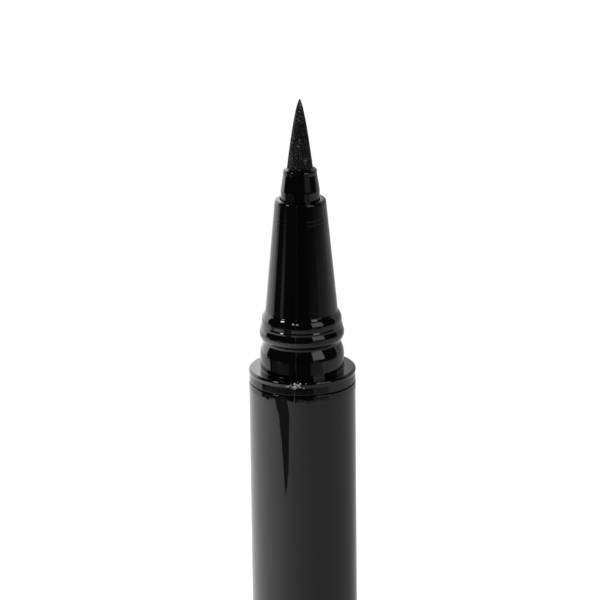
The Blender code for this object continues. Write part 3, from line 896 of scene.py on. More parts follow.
class Grower:
    """A Geometry Nodes tree with named sizes that grows one plain mesh."""

    def __init__(self, name: str) -> None:
        """Start an empty tree with a geometry output.

        Args:
            name: The name of the tree and of what it grows.
        """
        self.name = name
        self.tree = bpy.data.node_groups.new(name, "GeometryNodeTree")
        self.graph = Graph(self.tree)
        self.given: dict[str, Any] = {}
        self.tree.interface.new_socket("Geometry", in_out="OUTPUT",
                                       socket_type="NodeSocketGeometry")
        self.inputs = self.tree.nodes.new("NodeGroupInput")

    def sizes(self, given: dict[str, float | int]) -> tuple[Value, ...]:
        """Add named inputs.

        Args:
            given: Each input's number by its name. A whole number makes a count.

        Returns:
            The inputs as values, in the same order.
        """
        values = []
        for name, number in given.items():
            kind = "NodeSocketInt" if isinstance(number, int) else "NodeSocketFloat"
            socket = self.tree.interface.new_socket(name, in_out="INPUT", socket_type=kind)
            self.given[socket.identifier] = number
            values.append(Value(self.graph, self.inputs.outputs[name]))
        return tuple(values)

    def draws(self, mark: Value, seed: Value) -> Callable[[int, float, float], Value]:
        """Return a function that draws random numbers, the same at each run.

        Args:
            mark: What tells the things apart that each get a number.
            seed: The seed of the draws.

        Returns:
            A function of a draw's own number, its lowest and its highest value.
        """
        def draw(number: int, low: float, high: float) -> Value:
            """Return a random number for each mark."""
            return self.graph.add("FunctionNodeRandomValue", {
                2: low, 3: high, 7: mark, 8: seed + number}, output=1, data_type="FLOAT")

        return draw

    def circle(self, sides: int, radius: Value) -> Value:
        """Return a circle, as the profile of a sweep."""
        return self.graph.add("GeometryNodeCurvePrimitiveCircle", {
            "Resolution": sides, "Radius": radius})

    def sweep(self, path: Value, profile: Value) -> Value:
        """Return what a profile makes along a path, with closed ends."""
        return self.graph.add("GeometryNodeCurveToMesh", {
            "Curve": path, "Profile Curve": profile, "Fill Caps": True})

    def grow(self, geometry: Value, finish: Finish) -> bpy.types.Object:
        """Realize the geometry and return it as a plain mesh object.

        Args:
            geometry: The geometry to keep.
            finish: The finish that its faces take.

        Returns:
            An object with no modifier.
        """
        graph = self.graph
        real = graph.add("GeometryNodeRealizeInstances", {0: geometry})
        real = graph.add("GeometryNodeSetMaterial", {
            "Geometry": real, "Material": finish.material()})
        graph.add("NodeGroupOutput", {0: real})
        host = placed(self.name + "_host", bpy.data.meshes.new(self.name + "_host"))
        modifier = host.modifiers.new(self.name, "NODES")
        modifier.node_group = self.tree
        for identifier, given in self.given.items():
            modifier[identifier] = given
        now = bpy.context.evaluated_depsgraph_get()
        mesh = bpy.data.meshes.new_from_object(host.evaluated_get(now), depsgraph=now)
        host.modifiers.remove(modifier)
        bpy.data.objects.remove(host, do_unlink=True)
        mesh.name = self.name
        return finished(self.name, mesh)


# The pen's sub-assemblies


@dataclass
class FrontSection:
    """The front moulding: flange, neck, two beads, cone and the spigot in the barrel."""

    flange_height: float = 1.36
    lip_radius: float = 5.476
    lip_height: float = 0.55
    wall_radius: float = 5.365
    neck_radius: float = 4.24
    neck_height: float = 2.06
    neck_bow: float = 2.60
    groove_foot: float = 2.72
    groove_top: float = 2.90
    groove_radius: float = 3.875
    snap_radius: float = 4.27
    snap_foot: float = 3.256
    snap_height: float = 4.036
    snap_bow: float = 1.30
    land_radius: float = 4.112
    land_foot: float = 4.345
    land_top: float = 4.545
    seal_foot: float = 4.66
    seal_radius: float = 4.05
    seal_shoulder: float = 5.56
    seal_bow: float = 1.30
    seal_start: float = 5.984
    seal_top: float = 5.70
    cone_radius: float = 3.68
    cone_bore: float = 2.81
    top: float = 17.58
    top_radius: float = 2.56
    top_bore: float = 2.005
    holder_stop: float = 12.08
    holder_seat: float = 10.68
    flange_bore: float = 2.305
    spigot_bore: float = 3.70
    spigot_length: float = 13.70
    wall: float = 0.4
    rim_round: float = 0.24
    lip_foot_round: float = 0.40
    neck_foot_round: float = 0.06
    seal_root_round: float = 0.16
    land_round: float = 0.04
    bore_round: float = 0.3
    seal_draft: float = 0.022
    land_draft: float = 0.006
    groove_draft: float = 0.01
    snap_ease: float = 0.2
    ring_heights: tuple[float, float] = (15.81, 15.40)
    ring_depth: float = 0.005
    ring_floor: float = 0.02
    ring_mouth: float = 0.07
    seam_width: float = 0.040
    seam_rise: float = 0.030
    seam_foot: float = 0.02
    seam_inside: float = 0.3
    seam_on_cone: float = 0.5
    seam_columns: int = 15

    def seat(self) -> float:
        """Return the height of the flange's foot above the floor."""
        return top_of("front_section") - self.top - self.flange_height

    def outline(self) -> np.ndarray:
        """Return the outline, counted from the flange's foot."""
        up, spigot = self.flange_height, SPIGOT_RADIUS
        corners = [Corner(self.top_radius, up + self.top, self.rim_round)]
        for height in self.ring_heights:
            for step, depth in ((self.ring_mouth, 0), (self.ring_floor, self.ring_depth),
                                (-self.ring_floor, self.ring_depth), (-self.ring_mouth, 0)):
                corners.append(Corner(self.cone(height + step) - depth, up + height + step))
        corners += [
            Corner(self.cone(self.seal_start), up + self.seal_start, self.seal_root_round),
            Corner(self.seal_radius, up + self.seal_shoulder, self.seal_bow),
            Corner(self.seal_radius - self.seal_draft, up + self.seal_foot, EDGE),
            Corner(self.land_radius + self.land_draft, up + self.land_top, self.land_round),
            Corner(self.land_radius, up + self.land_foot, EDGE),
            Corner(self.snap_radius, up + self.snap_height, self.snap_bow),
            Corner(self.snap_radius, up + self.snap_foot, self.snap_bow - self.snap_ease),
            Corner(self.groove_radius + self.groove_draft, up + self.groove_top, self.land_round),
            Corner(self.groove_radius, up + self.groove_foot, CRISP),
            Corner(self.neck_radius, up + self.neck_height, self.neck_bow),
            Corner(self.neck_radius, up, self.neck_foot_round),
            Corner(self.lip_radius, up, self.rim_round),
            Corner(self.wall_radius, up - self.lip_height, self.lip_foot_round),
            Corner(self.wall_radius, 0, EDGE),
            Corner(spigot, 0),
            *ring_groove(-RING_FROM_END),
            Corner(spigot, SPIGOT_LEAD - self.spigot_length, EDGE),
            Corner(spigot - SPIGOT_LEAD, -self.spigot_length, EDGE),
            Corner(self.spigot_bore, -self.spigot_length, EDGE),
            Corner(self.spigot_bore, -self.wall, SOFT),
            Corner(self.cone_bore, -self.wall, SOFT),
            Corner(self.cone_bore, up + self.seal_top, self.bore_round),
            Corner(self.flange_bore, up + self.holder_seat),
            Corner(self.flange_bore, up + self.holder_stop, EDGE),
            Corner(self.top_bore, up + self.holder_stop, EDGE),
            Corner(self.top_bore, up + self.top, EASED),
        ]
        return outline_of(corners)

    def cone(self, height: float) -> float:
        """Return the cone's radius at a height above the flange."""
        return self.cone_radius + (self.top_radius - self.cone_radius) * (
            height - self.seal_top) / (self.top - self.seal_top)

    def turns(self) -> np.ndarray:
        """Return the angles of the columns, closer together at the two mould seams."""
        return crowded_turns(np.concatenate([
            ridge_turns(middle, self.seam_width, self.neck_radius, self.seam_columns)
            for middle in (SEAM_TURN, SEAM_TURN + math.pi)]))

    def seam(self, radius: np.ndarray, height: np.ndarray, angle: np.ndarray) -> np.ndarray:
        """Shape the mould seams on the surface that shows.

        Args:
            radius: The radius of each point, in millimetres.
            height: Its height above the flange's foot.
            angle: Its angle.

        Returns:
            How far each point stands out.
        """
        off = (angle - SEAM_TURN + math.pi / 2) % math.pi - math.pi / 2
        shows = (height > self.seam_foot) & (radius > self.top_radius - self.seam_inside)
        low = np.where(height > self.flange_height + self.seal_start, self.seam_on_cone, 1.0)
        ridge = self.seam_rise * low * crest(off * self.neck_radius, self.seam_width)
        return np.where(shows, ridge, 0.0)

    def build(self) -> None:
        """Make the moulding, and the flecks at its gate and on its seal bead."""
        piece = turned_mesh("front_section_shell", self.outline(), self.turns(), self.seat(),
                            self.seam)
        dress(piece, Body.PEN, MOULDED_BLACK, "front_section")
        up = self.seat() + self.flange_height
        Chips("gate_scar", count=84, radius=self.wall_radius + 0.06, height=up - 0.30, turn=0.03,
              width=1.20, tall=0.42, seed=7).build()
        Chips("seal_chips", count=9, radius=self.seal_radius - 0.02,
              height=up + self.seal_shoulder + 0.08, turn=-0.07, width=0.90, tall=0.05,
              seed=4).build()


@dataclass(frozen=True)
class Chips:
    """A cluster of ragged pale chips where plastic was torn, beside the mould seam.

    Radius, height, width and tall are in millimetres, and turn is in radians from the seam.
    """

    name: str
    count: int
    radius: float
    height: float
    turn: float
    width: float
    tall: float
    seed: int
    chip: float = 0.062
    spread: float = 1.2
    sunk: float = 0.03
    share: tuple[float, float] = (0.25, 1.35)
    share_power: float = 1.6

    def build(self) -> None:
        """Grow the chips."""
        grower = Grower(self.name)
        graph = grower.graph
        count, radius, middle, width, tall, seed = grower.sizes({
            "Chips": self.count, "Surface Radius": self.radius * MM,
            "Middle Height": self.height * MM, "Width": self.width * MM, "Tall": self.tall * MM,
            "Seed": self.seed})
        points = graph.add("GeometryNodeMeshLine", {"Count": count})
        draw = grower.draws(graph.add("GeometryNodeInputIndex"), seed)
        side = draw(1, -1, 1) * draw(2, 0.0, self.spread)
        rise = (draw(4, -1, 1) + draw(5, -1, 1)) * 0.5
        turn = SEAM_TURN + self.turn + side * width / radius
        sunk = radius - draw(6, 0.0, self.sunk) * MM
        place = graph.vector(sunk * turn.cosine(), sunk * turn.sine(), middle + rise * tall)
        points = graph.add("GeometryNodeSetPosition", {"Geometry": points, "Position": place})
        chip = graph.add("GeometryNodeMeshIcoSphere", {
            "Radius": self.chip * MM, "Subdivisions": 1})
        size = graph.vector(*(draw(number, *self.share) ** self.share_power
                              for number in (7, 8, 9)))
        spin = graph.vector(*(draw(number, 0, ANY_ANGLE) for number in (11, 12, 13)))
        chips = graph.add("GeometryNodeInstanceOnPoints", {
            "Points": points, "Instance": chip, "Scale": size, "Rotation": spin})
        dress(grower.grow(chips, SCAR_GREY), Body.PEN, SCAR_GREY)


@dataclass
class Nib:
    """The nib and its holder."""

    radius: float = 1.29
    exposed: float = 7.12
    lean: float = 0.055
    power: float = 0.68
    blunt: float = 0.02
    root_radius: float = 1.55
    root_height: float = 2.00
    socket_radius: float = 0.60
    socket_depth: float = 3.00
    shank_start: float = 0.3
    fibres: int = 132
    fibre_radius: float = 0.034
    fibre_points: int = 26
    fibre_sides: int = 6
    fibre_seed: int = 3
    fibre_reach: tuple[float, float] = (0.55, 0.985)
    reach_power: float = 0.6
    fibre_start: tuple[float, float] = (-0.06, 0.25)
    start_depth: float = 0.2
    fibre_waves: tuple[float, float] = (4.0, 9.0)
    fibre_wander: float = 0.012
    fibre_spread: float = 0.3
    fibre_sunk: tuple[float, float] = (0.35, 0.95)
    fibre_size: tuple[float, float] = (0.7, 1.15)
    fibre_point: float = 0.02
    taper_power: float = 0.25
    holder_tip: float = 1.68
    holder_radius: float = 1.955
    holder_flange: float = 2.255
    holder_height: float = 9.99
    holder_bore: float = 1.365
    holder_socket: float = 1.60
    holder_land: float = 0.52
    holder_taper: float = 2.18
    holder_rim_round: float = 0.20
    holder_draft: float = 0.02
    land_bow: float = 0.5
    taper_bow: float = 1.5
    flange_height: float = 1.3
    socket_height: float = 2.7
    ink_height: float = 0.14
    ink_depth: float = 0.10
    ink_inside: float = 0.06
    ink_outside: float = 0.12
    ink_sag: float = 0.02
    point_rows: int = 80
    point_crowding: float = 1.35
    groove_counts: tuple[int, ...] = (17, 29, 43, 61)
    groove_depth: float = 0.0045
    groove_seed: int = 5
    groove_share: tuple[float, float] = (0.4, 1.0)
    groove_drift: float = 0.5
    columns: int = 216

    def shank_top(self) -> float:
        """Return how far the holder's rim is above the floor."""
        return top_of("nib_holder")

    def point_outline(self) -> list[tuple[float, float]]:
        """Return the bowed point from its tip down, counted from the holder's rim."""
        shares = np.linspace(0, 1, self.point_rows) ** self.point_crowding
        return [(max(self.radius * share ** self.power, self.blunt * (share > 0)),
                 self.exposed * (1 - share)) for share in shares]

    def build_nib(self) -> None:
        """Make the nib's core, with shallow grooves between its fibre bundles."""
        foot = foot_of("brush_nib") - self.shank_top()
        shank = [(self.radius, -self.shank_start), (self.radius, foot + self.root_height)]
        root = rounded([
            Corner(self.radius, foot + self.root_height),
            Corner(self.root_radius, foot + self.root_height, EASED),
            Corner(self.root_radius, foot, EASED),
            Corner(self.socket_radius, foot, CRISP),
            Corner(self.socket_radius, foot + self.socket_depth, CRISP),
            Corner(0, foot + self.socket_depth),
        ], False)[1:]
        outline = np.array(self.point_outline() + shank + [tuple(point) for point in root])
        rng = np.random.default_rng(self.groove_seed)
        waves = [(count, rng.uniform(0, FULL_TURN), rng.uniform(*self.groove_share),
                  rng.uniform(-self.groove_drift, self.groove_drift))
                 for count in self.groove_counts]

        def grooves(radius: np.ndarray, height: np.ndarray, angle: np.ndarray) -> np.ndarray:
            """Shape the bundles, which fade towards the tip.

            Args:
                radius: The radius of each point, in millimetres.
                height: Its height above the holder's rim.
                angle: Its angle.

            Returns:
                How far each point stands out.
            """
            total = sum(depth * np.cos(count * angle + start + drift * height)
                        for count, start, depth, drift in waves)
            fade = np.minimum(radius / self.radius, 1)
            return np.where(height > 0.0, self.groove_depth * total * fade, 0)

        core = turned_mesh("nib_core", outline, even_turns(self.columns), self.shank_top(),
                           grooves)
        self.lean_over(core)
        dress(core, Body.PEN, BRUSH_BLACK, "brush_nib")

    def build_fibres(self) -> None:
        """Grow the fibres that lie along the nib, from the holder to the point."""
        grower = Grower("nib_fibres")
        graph = grower.graph
        count, length, radius, power, thick, floor, seed = grower.sizes({
            "Fibres": self.fibres, "Length": self.exposed * MM, "Nib Radius": self.radius * MM,
            "Point Power": self.power, "Fibre Radius": self.fibre_radius * MM,
            "Rim Height": self.shank_top() * MM, "Seed": self.fibre_seed})
        points = graph.add("GeometryNodeMeshLine", {"Count": count})
        points = graph.add("GeometryNodeStoreNamedAttribute", {
            "Geometry": points, "Name": "fibre", "Value": graph.add("GeometryNodeInputIndex")},
            data_type="INT", domain="POINT")
        strand = graph.add("GeometryNodeCurvePrimitiveLine", {"End": (0.0, 0.0, 1.0)})
        strand = graph.add("GeometryNodeResampleCurve", {
            "Curve": strand, "Count": self.fibre_points})
        strands = graph.add("GeometryNodeInstanceOnPoints", {
            "Points": points, "Instance": strand})
        strands = graph.add("GeometryNodeRealizeInstances", {0: strands})
        mark = graph.add("GeometryNodeInputNamedAttribute", {"Name": "fibre"}, data_type="INT")
        along = graph.add("GeometryNodeSplineParameter")
        draw = grower.draws(mark, seed)
        reach = draw(1, *self.fibre_reach) ** self.reach_power
        start = draw(2, *self.fibre_start) ** 2.0 * -self.start_depth
        share = start + along * (reach - start)
        wander = (along * draw(3, *self.fibre_waves) + draw(4, 0, ANY_ANGLE)).sine()
        turn = ((mark + draw(5, -self.fibre_spread, self.fibre_spread)) / count * FULL_TURN
                + wander * self.fibre_wander)
        left = (1 - share).highest(0.0)
        sunk = thick * draw(6, *self.fibre_sunk)
        across = (radius * left ** power - sunk).highest(0.0)
        place = graph.vector(across * turn.cosine(), across * turn.sine(), floor + share * length)
        strands = graph.add("GeometryNodeSetPosition", {"Geometry": strands, "Position": place})
        taper = ((1 - along).highest(self.fibre_point) ** self.taper_power
                 * draw(7, *self.fibre_size))
        strands = graph.add("GeometryNodeSetCurveRadius", {"Curve": strands, "Radius": taper})
        body = grower.sweep(strands, grower.circle(self.fibre_sides, thick))
        piece = grower.grow(body, BRUSH_BLACK)
        self.lean_over(piece)
        dress(piece, Body.PEN, BRUSH_BLACK)

    def lean_over(self, piece: bpy.types.Object) -> None:
        """Bend the part above the rim to one side, more towards the tip.

        Args:
            piece: The core or the fibres.
        """
        places = np.empty(len(piece.data.vertices) * 3, dtype=np.float32)
        piece.data.vertices.foreach_get("co", places)
        places = places.reshape(-1, 3)
        share = np.maximum(places[:, 2] / MM - self.shank_top(), 0.0) / self.exposed
        places[:, 0] += self.lean * MM * share ** 2
        piece.data.vertices.foreach_set("co", places.ravel())
        piece.data.update()

    def build_holder(self) -> None:
        """Make the tapered sleeve."""
        tall = self.holder_height
        inside, rim = self.radius - self.ink_inside, self.holder_bore + self.ink_outside
        turn_piece("nib_holder_sleeve", [
            Corner(self.holder_tip, tall, self.holder_rim_round),
            Corner(self.holder_tip + self.holder_draft, tall - self.holder_land, self.land_bow),
            Corner(self.holder_radius, tall - self.holder_taper, self.taper_bow),
            Corner(self.holder_radius, self.flange_height, EDGE),
            Corner(self.holder_flange, self.flange_height, EASED),
            Corner(self.holder_flange, 0, EASED),
            Corner(self.holder_socket, 0, EASED),
            Corner(self.holder_socket, self.socket_height, EDGE),
            Corner(self.holder_bore, self.socket_height, EDGE),
            Corner(self.holder_bore, tall, EDGE),
        ], foot_of("nib_holder"), Body.PEN, MOULDED_BLACK, "nib_holder",
            columns=FEWER_COLUMNS)
        turn_piece("ink_ring", [
            Corner(inside, self.ink_height),
            Corner(rim, -self.ink_sag),
            Corner(rim, -self.ink_depth),
            Corner(inside, -self.ink_depth),
        ], self.shank_top(), Body.PEN, MOULDED_BLACK, columns=INNER_COLUMNS)

    def build(self) -> None:
        """Make the nib, its fibres and the holder."""
        self.build_nib()
        self.build_fibres()
        self.build_holder()


@dataclass
class Barrel:
    """The outer tube and the plug in its foot."""

    radius: float = OUTER_RADIUS
    bore: float = 4.60
    length: float = 80.0
    flow_length: float = 1.60
    flow_width: float = 0.040
    flow_rise: float = 0.022
    flow_fade: float = 0.1
    flow_columns: int = 11
    flow_inside: float = 0.5
    flange_height: float = 1.20
    spigot_length: float = 8.00
    plug_bore: float = 2.40
    stub_radius: float = 4.20
    stub: float = 2.51
    nose_radius: float = 3.48
    nose: float = 6.50
    end_wall: float = 0.90
    bore_round: float = 0.3
    nose_round: float = 0.8

    def build(self) -> None:
        """Make the tube, with its short flow line, and the tail plug."""
        tube = [
            Corner(self.radius, self.length, TUBE_EDGE),
            Corner(self.radius, 0, TUBE_EDGE),
            Corner(self.bore, 0, EDGE),
            Corner(self.bore, self.length, EDGE),
        ]
        outline = self.with_flow(outline_of(tube, TUBE_RUN))
        near = ridge_turns(SEAM_TURN, self.flow_width, self.radius, self.flow_columns)
        piece = turned_mesh("barrel_tube", outline, crowded_turns(near), foot_of("barrel"),
                            self.flow_line)
        dress(piece, Body.PEN, TUBE_BLACK, "barrel")
        turn_piece("tail_plug_moulding", self.tail_corners(),
                   foot_of("tail_plug") + self.stub + self.nose, Body.PEN, MOULDED_BLACK,
                   "tail_plug")

    def with_flow(self, outline: np.ndarray) -> np.ndarray:
        """Make room for the flow line's end in the tube's outline.

        Args:
            outline: The outline's points.

        Returns:
            The outline with the two points where the line fades out.
        """
        end = self.length - self.flow_length
        further = np.array([[self.radius, end + self.flow_fade], [self.radius, end]])
        wall = int(np.argmax((outline[:, 0] == self.radius) & (outline[:, 1] < end)))
        return np.concatenate([outline[:wall], further, outline[wall:]])

    def flow_line(self, radius: np.ndarray, height: np.ndarray, angle: np.ndarray) -> np.ndarray:
        """Shape the flow line, just under the tube's mouth.

        Args:
            radius: The radius of each point, in millimetres.
            height: Its height above the tube's foot.
            angle: Its angle.

        Returns:
            How far each point stands out.
        """
        off = (angle - SEAM_TURN + math.pi) % FULL_TURN - math.pi
        shows = (height > self.length - self.flow_length) & (radius > self.bore + self.flow_inside)
        ridge = self.flow_rise * crest(off * self.radius, self.flow_width)
        return np.where(shows, ridge, 0.0)

    def tail_corners(self) -> list[Corner]:
        """Return the tail plug's corners, counted from its flange's foot."""
        top = self.flange_height + self.spigot_length
        end = -self.stub - self.nose
        return [
            Corner(0, end + self.end_wall),
            Corner(self.plug_bore, end + self.end_wall, self.bore_round),
            Corner(self.plug_bore, top, EDGE),
            Corner(SPIGOT_RADIUS - SPIGOT_LEAD, top, EDGE),
            Corner(SPIGOT_RADIUS, top - SPIGOT_LEAD, EDGE),
            *ring_groove(self.flange_height + RING_FROM_END + RING_GROOVE),
            Corner(SPIGOT_RADIUS, self.flange_height),
            Corner(self.radius, self.flange_height, TUBE_EDGE),
            Corner(self.radius, 0, TUBE_EDGE),
            Corner(self.stub_radius, 0, EDGE),
            Corner(self.stub_radius, -self.stub, MOUTH_EDGE),
            Corner(self.nose_radius, -self.stub, EDGE),
            Corner(self.nose_radius, end, self.nose_round),
            Corner(0, end),
        ]


@dataclass
class Cap:
    """The posted cap: shell, crown, sprung inner cap and its spring."""

    radius: float = OUTER_RADIUS
    bore: float = 4.78
    mouth_bore: float = 4.25
    pass_bore: float = 4.31
    ridge_radius: float = 4.08
    ridge_depth: float = 2.86
    ridge_half: float = 0.25
    ledge_depth: float = 4.46
    crown_height: float = 1.20
    crown_floor: float = 1.60
    crown_round: float = 0.4
    skirt_radius: float = 4.73
    skirt_wall: float = 0.80
    skirt_height: float = 3.00
    cup_length: float = 25.65
    cup_bore: float = 3.78
    cup_radius: float = 4.43
    cup_end_wall: float = 0.80
    cup_round: float = 0.8
    lip_bore: float = 4.03
    lip_height: float = 1.30
    guide_radius: float = 4.73
    guide_height: float = 4.00
    wire: float = 0.25
    coil_radius: float = 2.60
    spring_length: float = 14.0
    spring_turns: float = 7.0
    spring_points: int = 48
    wire_sides: int = 14

    def build(self) -> None:
        """Make the four pieces of the cap."""
        self.build_shell()
        self.build_crown()
        self.build_cup()
        self.build_spring()

    def build_shell(self) -> None:
        """Make the outer tube with its snap ridge and ledge."""
        foot, length = span_of("cap_shell")
        ridge, ledge = length - self.ridge_depth, length - self.ledge_depth
        turn_piece("cap_shell_tube", [
            Corner(self.radius, length, MOUTH_EDGE),
            Corner(self.radius, 0, TUBE_EDGE),
            Corner(self.bore, 0, EDGE),
            Corner(self.bore, ledge, EDGE),
            Corner(self.pass_bore, ledge, EDGE),
            Corner(self.pass_bore, ridge - self.ridge_half, EDGE),
            Corner(self.ridge_radius, ridge, self.ridge_half),
            Corner(self.mouth_bore, ridge + self.ridge_half, EDGE),
            Corner(self.mouth_bore, length, MOUTH_EDGE),
        ], foot, Body.CAP, TUBE_BLACK, "cap_shell", run=TUBE_RUN)

    def build_crown(self) -> None:
        """Make the end plug that the pen stands on."""
        skirt_bore = self.skirt_radius - self.skirt_wall
        skirt_top = self.crown_height + self.skirt_height
        turn_piece("cap_crown_plug", [
            Corner(0, self.crown_floor + BOSS_HEIGHT),
            Corner(BOSS_RADIUS, self.crown_floor + BOSS_HEIGHT, SOFT),
            Corner(BOSS_RADIUS, self.crown_floor, EDGE),
            Corner(skirt_bore, self.crown_floor, EDGE),
            Corner(skirt_bore, skirt_top, EDGE),
            Corner(self.skirt_radius, skirt_top, SOFT),
            Corner(self.skirt_radius, self.crown_height, CRISP),
            Corner(self.radius, self.crown_height, TUBE_EDGE),
            Corner(self.radius, 0, self.crown_round),
            Corner(0, 0),
        ], foot_of("cap_crown"), Body.CAP, MOULDED_BLACK, "cap_crown")

    def build_cup(self) -> None:
        """Make the sprung inner cap."""
        rim = self.cup_length
        turn_piece("inner_cap_cup", [
            Corner(0, self.cup_end_wall),
            Corner(self.cup_bore, self.cup_end_wall, self.cup_round),
            Corner(self.cup_bore, rim - self.lip_height, EDGE),
            Corner(self.lip_bore, rim - self.lip_height, EDGE),
            Corner(self.lip_bore, rim, SOFT),
            Corner(self.guide_radius, rim, SOFT),
            Corner(self.guide_radius, rim - self.guide_height, SOFT),
            Corner(self.cup_radius, rim - self.guide_height, SOFT),
            Corner(self.cup_radius, 0, self.cup_round),
            Corner(BOSS_RADIUS, 0, SOFT),
            Corner(BOSS_RADIUS, -BOSS_HEIGHT, SOFT),
            Corner(0, -BOSS_HEIGHT),
        ], foot_of("inner_cap") + BOSS_HEIGHT, Body.INNER_CAP, NATURAL_WHITE, "inner_cap",
            columns=FEWER_COLUMNS, run=TUBE_RUN)

    def build_spring(self) -> None:
        """Wind the spring between the crown and the inner cap."""
        grower = Grower("inner_cap_coil")
        graph = grower.graph
        seat = foot_of("inner_cap_spring")
        turns, wire, coil, rise, foot = grower.sizes({
            "Turns": self.spring_turns, "Wire Radius": self.wire * MM,
            "Coil Radius": self.coil_radius * MM,
            "Rise": (self.spring_length - 2 * self.wire) * MM, "Foot": (seat + self.wire) * MM})
        path = graph.add("GeometryNodeCurveSpiral", {
            "Resolution": self.spring_points, "Rotations": turns, "Start Radius": coil,
            "End Radius": coil, "Height": rise})
        path = graph.add("GeometryNodeSetPosition", {
            "Geometry": path, "Offset": graph.vector(0.0, 0.0, foot)})
        coils = grower.sweep(path, grower.circle(self.wire_sides, wire))
        piece = dress(grower.grow(coils, STEEL), Body.CAP, STEEL, "inner_cap_spring")
        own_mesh(piece)


@dataclass
class InkSupply:
    """What is inside the barrel: tank, plugs, ball, rings, collector and feed rod."""

    bore: float = 4.60
    ring_floor: float = 4.05
    ring_slack: float = 0.05
    tank_radius: float = 4.40
    tank_bore: float = 3.80
    tank_neck_radius: float = 3.65
    tank_neck_bore: float = 3.05
    tank_neck_length: float = 5.10
    tank_round: float = 0.25
    roof_round: float = 0.2
    plug_round: float = 0.15
    plug_flange: float = 1.00
    dish_radius: float = 1.50
    dish_depth: float = 0.30
    ball_radius: float = 1.60
    core_radius: float = 0.55
    core_point: float = 0.3
    stem_bore: float = 0.60
    stem_radius: float = 1.50
    fin_radius: float = 3.55
    fin_root: float = 2.00
    fin_overlap: float = 0.05
    fin_count: int = 8
    fin_pitch: float = 1.10
    fin_thickness: float = 0.50
    collar_radius: float = 2.66
    collar_foot: float = 2.46
    collar_height: float = 2.00
    section_gap: float = 0.10
    comb_drop: float = 0.50
    fin_points: int = 80
    slit: float = math.radians(15.0)
    shoulder_wall: float = 0.6
    plug_gap: float = 0.05
    ring_sides: int = 24
    ball_rows: int = 40
    ball_columns: int = 64

    def inner(self, name: str, node: str, finish: Finish, seat: float, *corners: Corner) -> None:
        """Turn one inner piece from its corners, in the place of a solid."""
        turn_piece(name, corners, seat, Body.PEN, finish, node, columns=INNER_COLUMNS,
                   run=INNER_RUN)

    def build(self) -> None:
        """Make every inner piece."""
        self.build_tank()
        self.build_rings()
        self.build_ball()
        self.build_collector()
        self.build_core()

    def build_tank(self) -> None:
        """Make the tank and the plugs at its two ends."""
        foot, top = span_of("ink_tank")
        shoulder = top - self.tank_neck_length
        roof = shoulder - self.shoulder_wall
        self.inner("ink_tank_tube", "ink_tank", TANK_MILKY, foot,
                   Corner(self.tank_neck_radius, top, EASED),
                   Corner(self.tank_neck_radius, shoulder, SOFT),
                   Corner(self.tank_radius, shoulder, self.tank_round),
                   Corner(self.tank_radius, 0, EASED),
                   Corner(self.tank_bore, 0, EASED),
                   Corner(self.tank_bore, roof, self.roof_round),
                   Corner(self.tank_neck_bore, roof, self.roof_round),
                   Corner(self.tank_neck_bore, top, EASED))
        foot, top = span_of("tank_plug")
        inside = self.tank_bore - self.plug_gap
        self.inner("tank_plug_moulding", "tank_plug", NATURAL_WHITE, foot,
                   Corner(0, top - self.dish_depth),
                   Corner(self.dish_radius, top, EDGE),
                   Corner(inside, top, self.plug_round),
                   Corner(inside, self.plug_flange, CRISP),
                   Corner(self.tank_radius, self.plug_flange, EASED),
                   Corner(self.tank_radius, 0, EASED),
                   Corner(0, 0))
        foot, top = span_of("partition_plug")
        inside, outside = self.stem_radius + self.plug_gap, self.tank_neck_bore - self.plug_gap
        self.inner("partition_plug_ring", "partition_plug", NATURAL_WHITE, foot,
                   Corner(outside, top, SOFT), Corner(outside, 0, SOFT),
                   Corner(inside, 0, SOFT), Corner(inside, top, SOFT))

    def build_rings(self) -> None:
        """Make the two rubber rings."""
        middle = (self.ring_floor + self.bore) / 2
        thick = (self.bore - self.ring_floor) / 2 - self.ring_slack
        angles = np.linspace(FULL_TURN, 0, self.ring_sides, endpoint=False)
        outline = np.stack([middle + thick * np.cos(angles), thick * np.sin(angles)], 1)
        for node in ("section_ring", "tail_ring"):
            piece = turned_mesh(node + "_rubber", outline, even_turns(INNER_COLUMNS),
                                middle_of(node))
            dress(piece, Body.PEN, RUBBER, node)

    def build_ball(self) -> None:
        """Make the ball that stirs the ink."""
        angles = np.linspace(0, math.pi, self.ball_rows)
        outline = self.ball_radius * np.stack([np.sin(angles), np.cos(angles)], 1)
        outline[0, 0] = outline[-1, 0] = 0
        piece = turned_mesh("mixing_ball_steel", outline, even_turns(self.ball_columns),
                            middle_of("mixing_ball"))
        dress(piece, Body.BALL, STEEL, "mixing_ball")

    def build_collector(self) -> None:
        """Make the collector's slit stem and collar, and its comb of fins."""
        seat = self.comb_top()
        foot, top = foot_of("collector") - seat, top_of("collector") - seat
        comb = (self.fin_count - 1) * self.fin_pitch + self.fin_thickness
        collar = self.collar_foot + self.collar_height
        corners = [
            Corner(self.stem_radius, top, SOFT),
            Corner(self.stem_radius, collar, EDGE),
            Corner(self.collar_radius, collar, self.plug_round),
            Corner(self.collar_radius, self.collar_foot, self.plug_round),
            Corner(self.fin_root, self.collar_foot, EDGE),
            Corner(self.fin_root, -comb, SOFT),
            Corner(self.stem_radius, -comb, EDGE),
            Corner(self.stem_radius, foot, SOFT),
            Corner(self.stem_bore, foot, EDGE),
            Corner(self.stem_bore, top, EDGE),
        ]
        turns = np.linspace(0, FULL_TURN - self.slit, INNER_COLUMNS)
        stem = turned_mesh("collector_stem", outline_of(corners, INNER_RUN), turns, seat,
                           slit=True)
        dress(stem, Body.PEN, NATURAL_WHITE, "collector")
        self.build_fins(seat)

    def comb_top(self) -> float:
        """Return the height of the comb's top above the floor."""
        return top_of("barrel") + self.section_gap - self.comb_drop

